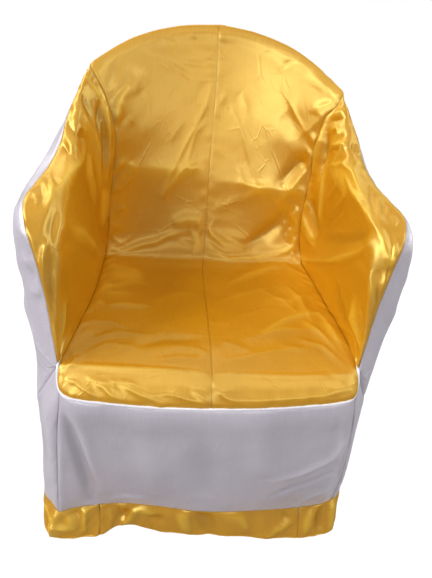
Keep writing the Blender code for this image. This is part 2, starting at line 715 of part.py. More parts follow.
def build_side(side, hand, hem_seam, collection):
    """Makes the panels of one side, and returns its seams and the bearings of its hem stations."""
    seams = side_seams(side, hand, hem_seam)
    shoulder = INNER_SEAM_STARTS[side]
    inner_rows = np.linspace(0, SEAT_CORNER, SIDE_ROWS + 1)
    to_top = matched(INNER_TO_TOP)
    to_waist = matched(TOP_TO_WAIST)
    to_hem = matched(WAIST_TO_HEM)

    def top_station(inner):
        return shoulder + (1 - shoulder) * to_top(inner)

    panel = pinned(
        bowed(smooth(CENTRE_SEAM), seams["inner"], smooth(PANEL_POWER)),
        top=stretch(seams["top"], 0, shoulder),
        bottom=mirrored(smooth(PANEL_FRONT), hand),
    )
    sheet(
        f"inside_panel_{side}",
        panel,
        np.linspace(0, 1, PANEL_COLUMNS + 1),
        np.concatenate((inner_rows, np.linspace(SEAT_CORNER, 1, ROLL_ROWS + 1)[1:])),
        hand,
        (FLAT_TRIM, 0, FLAT_TRIM, FOLDED_TRIM),
        material(f"gold_panel_{side}", GOLD, 0.38),
        collection,
    )

    arm = draped(
        (
            seams["inner"],
            lambda inner: seams["lip"](top_station(inner)),
            lambda inner: seams["top"](top_station(inner)),
        ),
        (0, 0.6, 1),
        LIP_BEND,
    )
    arm_rows = inner_rows[1:-1]
    arm_rows = np.concatenate((ARM_TIPS[:1], arm_rows[arm_rows > ARM_TIPS[0] + 0.01]))
    arm_rows = np.concatenate((arm_rows[arm_rows < ARM_TIPS[1] - 0.01], ARM_TIPS[1:]))
    sheet(
        f"inside_arm_{side}",
        arm,
        np.linspace(0, 1, ARM_COLUMNS + 1),
        arm_rows,
        hand,
        (FLAT_TRIM, PIPING_TRIM, FOLDED_TRIM, BENT_TRIM),
        material(f"gold_arm_{side}", GOLD, 0.38),
        collection,
    )

    outside = draped(
        (
            stretch(seams["top"], REAR_SEAM_STARTS, 1),
            stretch(seams["edge"], REAR_SEAM_STARTS, 1),
            stretch(seams["side"], REAR_SEAM_STARTS, 1),
            lambda share: seams["waist"](to_waist(REAR_SEAM_STARTS + (1 - REAR_SEAM_STARTS) * share)),
        ),
        (0, 0.25, 0.6, 1),
        EDGE_BEND,
    )
    outside = pinned(outside, top=stretch(seams["rear"], 0, WAIST_ON_REAR_SEAM), reach=0.2)
    top_rows = top_station(inner_rows)
    top_rows = np.append(REAR_SEAM_STARTS, top_rows[top_rows > REAR_SEAM_STARTS + 0.004])
    waist_rows = to_waist(top_rows)
    outside_rows = (top_rows[:-1] - REAR_SEAM_STARTS) / (1 - REAR_SEAM_STARTS)
    sheet(
        f"outside_arm_{side}",
        outside,
        np.linspace(0, 1, OUTSIDE_ARM_COLUMNS + 1),
        np.append(outside_rows, OUTSIDE_ARM_TIP),
        hand,
        (FOLDED_TRIM, FLAT_TRIM, BENT_TRIM, FLAT_TRIM),
        material(f"white_arm_{side}", WHITE, 0.42),
        collection,
    )

    bearings = to_hem(waist_rows)
    skirt = pinned(
        lambda u, v: (1 - v) * seams["waist"](u) + v * hem_seam(hand * to_hem(u)),
        start=stretch(seams["rear"], WAIST_ON_REAR_SEAM, 1),
        end=seams["front"],
    )
    sheet(
        f"side_skirt_{side}",
        skirt,
        waist_rows,
        np.linspace(0, 1, SKIRT_ROWS + 1),
        -hand,
        (FLAT_TRIM, FLAT_TRIM, FOLDED_TRIM, FOLDED_TRIM),
        material(f"white_side_{side}", WHITE, 0.42),
        collection,
    )
    return seams, hand * bearings


def build():
    """Makes every panel, band and cord of the cover."""
    for obj in list(bpy.data.objects):
        bpy.data.objects.remove(obj)
    collection = bpy.data.collections.new(COVER)
    bpy.context.scene.collection.children.link(collection)
    hem_seam, hem_edge = hem_lines()
    left, left_bearings = build_side("left", -1, hem_seam, collection)
    right, right_bearings = build_side("right", 1, hem_seam, collection)

    front_skirt = between(
        stretch(both_sides(smooth(SKIRT_TOP)), -1, 1),
        stretch(hem_seam, -FRONT_SEAM, FRONT_SEAM),
        stretch(left["front"], SKIRT_ON_CORNER, 1),
        stretch(right["front"], SKIRT_ON_CORNER, 1),
    )
    front_bearings = np.linspace(-FRONT_SEAM, FRONT_SEAM, FRONT_COLUMNS + 1)
    sheet(
        "front_skirt",
        front_skirt,
        (front_bearings + FRONT_SEAM) / (2 * FRONT_SEAM),
        np.linspace(0, 1, SKIRT_ROWS + 1),
        1,
        (0, FLAT_TRIM, FOLDED_TRIM, FOLDED_TRIM),
        material("white_front", WHITE, 0.42),
        collection,
    )

    columns, rows = BACK_CELLS
    back_bearings = np.linspace(REAR_SEAM, 360 - REAR_SEAM, columns + 1)
    crest = stretch(both_sides(smooth(TOP_SEAM)), REAR_SEAM_STARTS, -REAR_SEAM_STARTS)
    foot = stretch(hem_seam, REAR_SEAM, 360 - REAR_SEAM)
    outside_back = pinned(
        lambda u, v: (1 - v) * crest(u) + v * foot(u),
        start=right["rear"],
        end=left["rear"],
    )
    sheet(
        "outside_back",
        outside_back,
        np.linspace(0, 1, columns + 1),
        np.linspace(0, 1, rows + 1),
        1,
        (FLAT_TRIM, FLAT_TRIM, FOLDED_TRIM, FOLDED_TRIM),
        material("white_back", WHITE, 0.42),
        collection,
    )

    ring = np.concatenate((front_bearings, right_bearings, back_bearings, left_bearings % 360))
    ring = np.append(ring, 360 + front_bearings)
    for name, start, end in (
        ("hem_band_front", -HEM_JOINT, HEM_JOINT),
        ("hem_band_round", HEM_JOINT, 360 - HEM_JOINT),
    ):
        inside = ring[(ring > start + 0.5) & (ring < end - 0.5)]
        sheet(
            name,
            lambda bearing, v: (1 - v) * hem_seam(bearing) + v * hem_edge(bearing),
            np.unique(np.round(np.concatenate(((start,), inside, (end,))), 4)),
            np.linspace(0, 1, HEM_ROWS + 1),
            1,
            (FLAT_TRIM, 0, FLAT_TRIM, FLAT_TRIM),
            material(name.replace("hem", "gold_hem"), GOLD, 0.38),
            collection,
        )

    stations = np.linspace(-PIPING_ENDS, PIPING_ENDS, PIPING_STEPS + 1)
    tube(
        "seat_piping",
        both_sides(smooth(SEAT_EDGE))(stations),
        PIPING_RADIUS,
        material("white_piping", (0.78, 0.76, 0.84), 0.4),
        collection,
    )


build()
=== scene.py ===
"""Fitted satin cover for a moulded armchair, dressed with fine cloth, seams and creases.

Gold panels line the back, seat and arms. White panels close the outside. A gold band runs round
the hem, and white piping follows the front edge of the seat. X points to the viewer's right, Y to
the rear and Z up, in metres.
"""

import logging
import math
from dataclasses import dataclass
from enum import Enum
from typing import Any, Callable, NamedTuple, Sequence

import bpy
import numpy as np
from mathutils import Matrix, Vector


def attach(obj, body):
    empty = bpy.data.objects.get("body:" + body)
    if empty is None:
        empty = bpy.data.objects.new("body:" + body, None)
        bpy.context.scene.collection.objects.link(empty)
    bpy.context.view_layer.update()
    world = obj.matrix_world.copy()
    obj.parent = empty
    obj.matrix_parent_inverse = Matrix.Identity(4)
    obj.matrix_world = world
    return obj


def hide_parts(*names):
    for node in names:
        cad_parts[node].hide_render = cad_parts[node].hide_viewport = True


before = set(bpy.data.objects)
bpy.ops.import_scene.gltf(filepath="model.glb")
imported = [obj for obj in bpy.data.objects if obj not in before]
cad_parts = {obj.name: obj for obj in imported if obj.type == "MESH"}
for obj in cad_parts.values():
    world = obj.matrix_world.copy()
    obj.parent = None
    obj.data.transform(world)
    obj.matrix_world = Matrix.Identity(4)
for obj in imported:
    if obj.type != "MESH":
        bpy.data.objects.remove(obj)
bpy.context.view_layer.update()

LOG = logging.getLogger("armchair_cover")
FLOOR_GAP = 0.0012
TINY = 1e-9

# Size of the lattice behind every ripple, and what keeps a panel's sets of waves apart
LATTICE = 64
PUCKER_WAVES, SWAY_WAVES, FINE_WAVES = 7, 11, 50

ROOT = "root"
WHITE = (1.0, 1.0, 1.0)

Array = np.ndarray
Curve = Callable[[Any], Array]
Surface = Callable[[Array, float], Array]
Triple = tuple[float, float, float]
Pair = tuple[float, float]


class Side(Enum):
    """One side of the cover, as the viewer sees it."""

    LEFT = -1
    RIGHT = 1

    @property
    def word(self) -> str:
        """The side's name in a piece's name."""
        return self.name.lower()


class Ridge(Enum):
    """How a crease is shaped across its run."""

    SOFT = "soft"
    PINCHED = "pinched"

    @property
    def at_ends(self) -> float:
        """The share of its height that a crease keeps at its ends."""
        return 0.25 if self is Ridge.PINCHED else 0.05


class Point(NamedTuple):
    """One row of a seam's table: a station and its place."""

    at: float
    x: float
    y: float
    z: float


class Match(NamedTuple):
    """A station of one seam and the station of the next seam that lies across from it."""

    near: float
    far: float


class Hem(NamedTuple):
    """The hem band at one bearing: its seam to the skirt and its free edge."""

    bearing: float
    seam_x: float
    seam_y: float
    seam_z: float
    edge_x: float
    edge_y: float
    edge_z: float


class Crease(NamedTuple):
    """A fold along a path. A height below 0 is a valley."""

    width: float
    height: float
    path: tuple[Pair, ...]
    ridge: Ridge = Ridge.SOFT

    def profile(self, away: Array, along: Array) -> Array:
        """The fold's height over the cloth round it.

        Args:
            away: Each point's distance from the path, in metres.
            along: Where it lies along the path, from 0 to 1.

        Returns:
            The height at each point.
        """
        blunt, steepness, swelling, tip = 0.05, 1.3, 0.6, 0.02
        least = self.ridge.at_ends
        taper = least + (1 - least) * np.sin(np.pi * np.clip(along, tip, 1 - tip)) ** swelling
        if self.ridge is Ridge.PINCHED:
            shape = np.exp(-np.sqrt((away / self.width) ** 2 + blunt) * steepness)
        else:
            shape = np.exp(-((away / self.width) ** 2))
        return self.height * taper * shape


def swell(width: float, height: float, *path: Pair) -> Crease:
    """A soft fold through these points."""
    return Crease(width, height, path)


def pinch(width: float, height: float, *path: Pair) -> Crease:
    """A sharp fold through these points."""
    return Crease(width, height, path, Ridge.PINCHED)


# Where the seams start and meet, as stations of the tables below
INNER_SEAM_STARTS = {"left": 0.195, "right": 0.22}
REAR_SEAM_STARTS = 0.20
SEAT_CORNER = 0.91
WAIST_ON_REAR_SEAM = 0.58
SKIRT_ON_CORNER = 0.08
PIPING_ENDS = 1.19

# Hem joints and corner seams, as bearings in degrees from the middle of the front
HEM_JOINT = 35
FRONT_SEAM = 50
REAR_SEAM = 133

# Gold-to-white seam, from the middle of the crest round the shoulder, along the armrest's outer
# edge and down the arm's front to the corner of the seat.
TOP_SEAM = (
    Point(0.00, 0.000, 0.330, 0.806),
    Point(0.06, 0.091, 0.312, 0.797),
    Point(0.12, 0.173, 0.265, 0.778),
    Point(0.17, 0.222, 0.216, 0.755),
    Point(0.20, 0.238, 0.194, 0.744),
    Point(0.23, 0.249, 0.166, 0.735),
    Point(0.27, 0.257, 0.132, 0.722),
    Point(0.32, 0.264, 0.081, 0.699),
    Point(0.37, 0.270, 0.034, 0.668),
    Point(0.42, 0.277, -0.024, 0.652),
    Point(0.48, 0.279, -0.094, 0.654),
    Point(0.54, 0.278, -0.158, 0.655),
    Point(0.58, 0.270, -0.190, 0.640),
    Point(0.64, 0.257, -0.212, 0.594),
    Point(0.72, 0.250, -0.223, 0.542),
    Point(0.84, 0.244, -0.241, 0.471),
    Point(1.00, 0.240, -0.254, 0.427),
)

# Inner edge of the armrest and of the arm's front, where the gold cloth turns over.
ARM_LIP = (
    Point(0.20, 0.241, 0.181, 0.756),
    Point(0.27, 0.246, 0.139, 0.739),
    Point(0.32, 0.243, 0.094, 0.715),
    Point(0.37, 0.240, 0.039, 0.682),
    Point(0.42, 0.237, -0.021, 0.661),
    Point(0.48, 0.231, -0.091, 0.654),
    Point(0.54, 0.223, -0.164, 0.646),
    Point(0.58, 0.222, -0.196, 0.622),
    Point(0.64, 0.229, -0.216, 0.575),
    Point(0.72, 0.235, -0.228, 0.525),
    Point(0.84, 0.239, -0.244, 0.465),
    Point(1.00, 0.2395, -0.253, 0.428),
)

# Outer edge of the armrest and of the arm's front, where the white cloth turns down the side.
ARM_EDGE = {
    "left": (
        Point(0.20, 0.249, 0.200, 0.736),
        Point(0.27, 0.276, 0.138, 0.701),
        Point(0.32, 0.286, 0.086, 0.680),
        Point(0.37, 0.294, 0.036, 0.655),
        Point(0.42, 0.300, -0.022, 0.645),
        Point(0.48, 0.298, -0.094, 0.645),
        Point(0.54, 0.292, -0.163, 0.640),
        Point(0.58, 0.290, -0.186, 0.620),
        Point(0.64, 0.287, -0.198, 0.560),
        Point(0.72, 0.284, -0.210, 0.490),
        Point(0.84, 0.266, -0.241, 0.435),
        Point(1.00, 0.240, -0.254, 0.427),
    ),
    "right": (
        Point(0.20, 0.243, 0.200, 0.737),
        Point(0.27, 0.266, 0.138, 0.712),
        Point(0.32, 0.274, 0.086, 0.688),
        Point(0.37, 0.281, 0.036, 0.657),
        Point(0.42, 0.289, -0.022, 0.640),
        Point(0.48, 0.291, -0.094, 0.641),
        Point(0.54, 0.291, -0.163, 0.640),
        Point(0.58, 0.291, -0.186, 0.620),
        Point(0.64, 0.290, -0.199, 0.560),
        Point(0.72, 0.286, -0.212, 0.490),
        Point(0.84, 0.262, -0.243, 0.435),
        Point(1.00, 0.240, -0.254, 0.427),
    ),
}

# Half-way down the outside of the arm.
ARM_SIDE = (
    Point(0.20, 0.254, 0.230, 0.560),
    Point(0.32, 0.283, 0.110, 0.510),
    Point(0.42, 0.289, 0.000, 0.500),
    Point(0.54, 0.288, -0.140, 0.490),
    Point(0.64, 0.287, -0.195, 0.450),
    Point(0.72, 0.284, -0.218, 0.420),
    Point(0.84, 0.266, -0.247, 0.405),
    Point(1.00, 0.240, -0.254, 0.427),
)

# Seam between the outside of the arm and the side of the skirt, from the rear corner to the
# corner of the seat. Its front end slopes up.
WAIST = {
    "left": (
        Point(0.00, 0.267, 0.255, 0.345),
        Point(0.20, 0.281, 0.160, 0.344),
        Point(0.40, 0.289, 0.050, 0.343),
        Point(0.60, 0.291, -0.080, 0.343),
        Point(0.75, 0.291, -0.175, 0.344),
        Point(0.85, 0.289, -0.225, 0.347),
        Point(0.90, 0.283, -0.249, 0.354),
        Point(0.95, 0.264, -0.256, 0.388),
        Point(1.00, 0.2405, -0.2545, 0.4275),
    ),
    "right": (
        Point(0.00, 0.267, 0.255, 0.345),
        Point(0.20, 0.281, 0.160, 0.344),
        Point(0.40, 0.289, 0.050, 0.343),
        Point(0.60, 0.291, -0.080, 0.343),
        Point(0.75, 0.290, -0.175, 0.344),
        Point(0.85, 0.283, -0.225, 0.347),
        Point(0.90, 0.273, -0.247, 0.354),
        Point(0.95, 0.256, -0.2545, 0.388),
        Point(1.00, 0.2405, -0.2545, 0.4275),
    ),
}

# Rows round each side: stations of the inner seam, with those of the top seam as a share of its
# length from the shoulder, and then stations of the waist seam with bearings on the hem.
INNER_TO_TOP = (
    Match(0.00, 0.00),
    Match(0.14, 0.08),
    Match(0.30, 0.14),
    Match(0.48, 0.21),
    Match(0.58, 0.28),
    Match(0.70, 0.38),
    Match(0.79, 0.47),
    Match(0.85, 0.58),
    Match(0.89, 0.80),
    Match(SEAT_CORNER, 1.00),
)
TOP_TO_WAIST = (
    Match(0.20, 0.00),
    Match(0.32, 0.28),
    Match(0.42, 0.50),
    Match(0.54, 0.72),
    Match(0.64, 0.84),
    Match(0.72, 0.90),
    Match(0.84, 0.95),
    Match(1.00, 1.00),
)
WAIST_TO_HEM = (
    Match(0.00, REAR_SEAM),
    Match(0.28, 112),
    Match(0.50, 97),
    Match(0.72, 80),
    Match(0.84, 70),
    Match(0.90, 63),
    Match(0.95, 57),
    Match(1.00, FRONT_SEAM),
)

# Seam up the front corner of the skirt, from the corner of the seat to the hem band.
FRONT_CORNER = (
    Point(0.00, 0.2405, -0.2545, 0.4275),
    Point(0.08, 0.2360, -0.2790, 0.4020),
    Point(0.30, 0.247, -0.292, 0.320),
    Point(0.60, 0.262, -0.298, 0.200),
)

# Seam down the rear corner, from the crest to the hem band.
REAR_CORNER = (
    Point(0.25, 0.251, 0.226, 0.580),
    Point(0.50, 0.264, 0.250, 0.400),
    Point(0.58, 0.267, 0.255, 0.345),
    Point(0.80, 0.276, 0.261, 0.200),
)

# Middle of the back and seat, from the crest's seam down to the piping.
CENTRE_SEAM = (
    Point(0.00, 0.000, 0.330, 0.806),
    Point(0.04, 0.003, 0.329, 0.822),
    Point(0.07, 0.005, 0.311, 0.831),
    Point(0.10, 0.005, 0.296, 0.822),
    Point(0.14, 0.006, 0.287, 0.798),
    Point(0.22, 0.006, 0.259, 0.716),
    Point(0.30, 0.003, 0.228, 0.630),
    Point(0.38, 0.001, 0.195, 0.545),
    Point(0.44, 0.000, 0.165, 0.470),
    Point(0.48, -0.002, 0.138, 0.415),
    Point(0.50, -0.003, 0.120, 0.394),
    Point(0.53, -0.005, 0.092, 0.385),
    Point(0.60, -0.005, 0.030, 0.387),
    Point(0.70, -0.003, -0.060, 0.399),
    Point(0.80, -0.001, -0.150, 0.415),
    Point(0.86, 0.000, -0.215, 0.421),
    Point(0.90, 0.000, -0.258, 0.421),
    Point(0.94, 0.000, -0.284, 0.413),
    Point(0.97, 0.000, -0.298, 0.400),
    Point(1.00, 0.000, -0.3018, 0.3903),
)

# How each row of the inside panel leaves the middle: 1 is straight, 2 a plain bow, more squarer.
PANEL_POWER = (
    Point(0.00, 1, 2.3, 2.3),
    Point(0.12, 1, 2.3, 2.3),
    Point(0.30, 1, 2.0, 2.0),
    Point(0.45, 1, 2.2, 2.2),
    Point(0.55, 1, 2.5, 2.5),
    Point(0.75, 1, 2.2, 2.2),
    Point(0.90, 1, 7.0, 7.0),
    Point(1.00, 1, 9.0, 9.0),
)

# Seam between the back or seat and the arm. The two sides were pulled on unevenly.
INNER_SEAM = {
    "left": (
        Point(0.04, 0.2385, 0.192, 0.760),
        Point(0.07, 0.235, 0.184, 0.765),
        Point(0.10, 0.229, 0.177, 0.755),
        Point(0.14, 0.221, 0.172, 0.740),
        Point(0.18, 0.208, 0.167, 0.715),
        Point(0.22, 0.198, 0.160, 0.685),
        Point(0.27, 0.192, 0.150, 0.640),
        Point(0.32, 0.197, 0.141, 0.595),
        Point(0.38, 0.206, 0.131, 0.535),
        Point(0.44, 0.215, 0.120, 0.465),
    ),
    "right": (
        Point(0.04, 0.248, 0.168, 0.749),
        Point(0.07, 0.246, 0.160, 0.752),
        Point(0.10, 0.241, 0.154, 0.742),
        Point(0.14, 0.234, 0.153, 0.727),
        Point(0.18, 0.219, 0.156, 0.706),
        Point(0.22, 0.214, 0.155, 0.682),
        Point(0.27, 0.209, 0.150, 0.640),
        Point(0.32, 0.212, 0.141, 0.593),
        Point(0.38, 0.209, 0.130, 0.535),
        Point(0.44, 0.211, 0.120, 0.460),
    ),
}
SEAT_SIDE = {
    "left": (
        Point(0.48, 0.220, 0.112, 0.418),
        Point(0.50, 0.223, 0.104, 0.401),
        Point(0.53, 0.223, 0.080, 0.398),
        Point(0.60, 0.221, 0.020, 0.403),
        Point(0.70, 0.220, -0.075, 0.418),
        Point(0.80, 0.226, -0.165, 0.431),
        Point(0.86, 0.232, -0.215, 0.432),
        Point(0.91, 0.2375, -0.252, 0.429),
        Point(0.95, 0.2365, -0.267, 0.4165),
        Point(1.00, 0.2325, -0.2775, 0.404),
    ),
    "right": (
        Point(0.48, 0.217, 0.108, 0.420),
        Point(0.50, 0.222, 0.094, 0.402),
        Point(0.53, 0.227, 0.070, 0.398),
        Point(0.60, 0.233, 0.010, 0.402),
        Point(0.70, 0.238, -0.075, 0.411),
        Point(0.80, 0.241, -0.165, 0.424),
        Point(0.86, 0.2405, -0.212, 0.429),
        Point(0.91, 0.2375, -0.252, 0.429),
        Point(0.95, 0.2365, -0.267, 0.4165),
        Point(1.00, 0.2325, -0.2775, 0.404),
    ),
}

# Front edge of the seat, from the middle to the corner and up to the arm.
SEAT_EDGE = (
    Point(0.00, 0.000, -0.303, 0.387),
    Point(0.30, 0.080, -0.302, 0.388),
    Point(0.60, 0.159, -0.298, 0.392),
    Point(0.80, 0.205, -0.295, 0.396),
    Point(0.92, 0.226, -0.290, 0.399),
    Point(1.00, 0.236, -0.279, 0.402),
    Point(1.08, 0.2400, -0.266, 0.414),
    Point(1.14, 0.2400, -0.256, 0.426),
    Point(1.22, 0.2390, -0.243, 0.436),
)

# Hem band: its seam to the skirt and its free edge, by bearing round the cover in degrees from
# the middle of the front. The rear half is even; the front was left uneven by the wearer.
HEM_FRONT = (
    Hem(-90, -0.312, -0.066, 0.064, -0.325, -0.066, 0.000),
    Hem(-72, -0.316, -0.240, 0.070, -0.331, -0.238, 0.000),
    Hem(-62, -0.308, -0.276, 0.070, -0.320, -0.290, 0.000),
    Hem(-55, -0.292, -0.292, 0.072, -0.306, -0.315, 0.000),
    Hem(-50, -0.277, -0.306, 0.064, -0.289, -0.327, 0.000),
    Hem(-45, -0.255, -0.300, 0.062, -0.262, -0.332, 0.000),
    Hem(-35, -0.200, -0.292, 0.062, -0.200, -0.324, 0.000),
    Hem(-27, -0.150, -0.290, 0.062, -0.150, -0.308, 0.012),
    Hem(-20, -0.100, -0.295, 0.062, -0.100, -0.315, 0.002),
    Hem(0, 0.000, -0.308, 0.062, 0.000, -0.327, 0.000),
    Hem(20, 0.100, -0.308, 0.062, 0.107, -0.334, 0.000),
    Hem(35, 0.205, -0.301, 0.062, 0.206, -0.336, 0.000),
    Hem(45, 0.256, -0.293, 0.062, 0.262, -0.329, 0.000),
    Hem(50, 0.277, -0.285, 0.062, 0.284, -0.318, 0.000),
    Hem(55, 0.292, -0.275, 0.062, 0.299, -0.300, 0.000),
    Hem(62, 0.305, -0.250, 0.062, 0.309, -0.268, 0.000),
    Hem(72, 0.3145, -0.205, 0.062, 0.321, -0.215, 0.000),
    Hem(90, 0.311, -0.066, 0.062, 0.3235, -0.066, 0.000),
)
HEM_REAR = (
    Hem(110, 0.302, 0.084, 0.062, 0.313, 0.094, 0.000),
    Hem(125, 0.294, 0.204, 0.062, 0.304, 0.214, 0.000),
    Hem(133, 0.283, 0.264, 0.062, 0.292, 0.279, 0.000),
    Hem(142, 0.256, 0.302, 0.062, 0.262, 0.317, 0.000),
    Hem(150, 0.205, 0.320, 0.062, 0.210, 0.331, 0.000),
    Hem(165, 0.100, 0.328, 0.062, 0.100, 0.337, 0.000),
)
HEM_BACK = Hem(180, 0.0, 0.328, 0.062, 0.0, 0.336, 0.000)

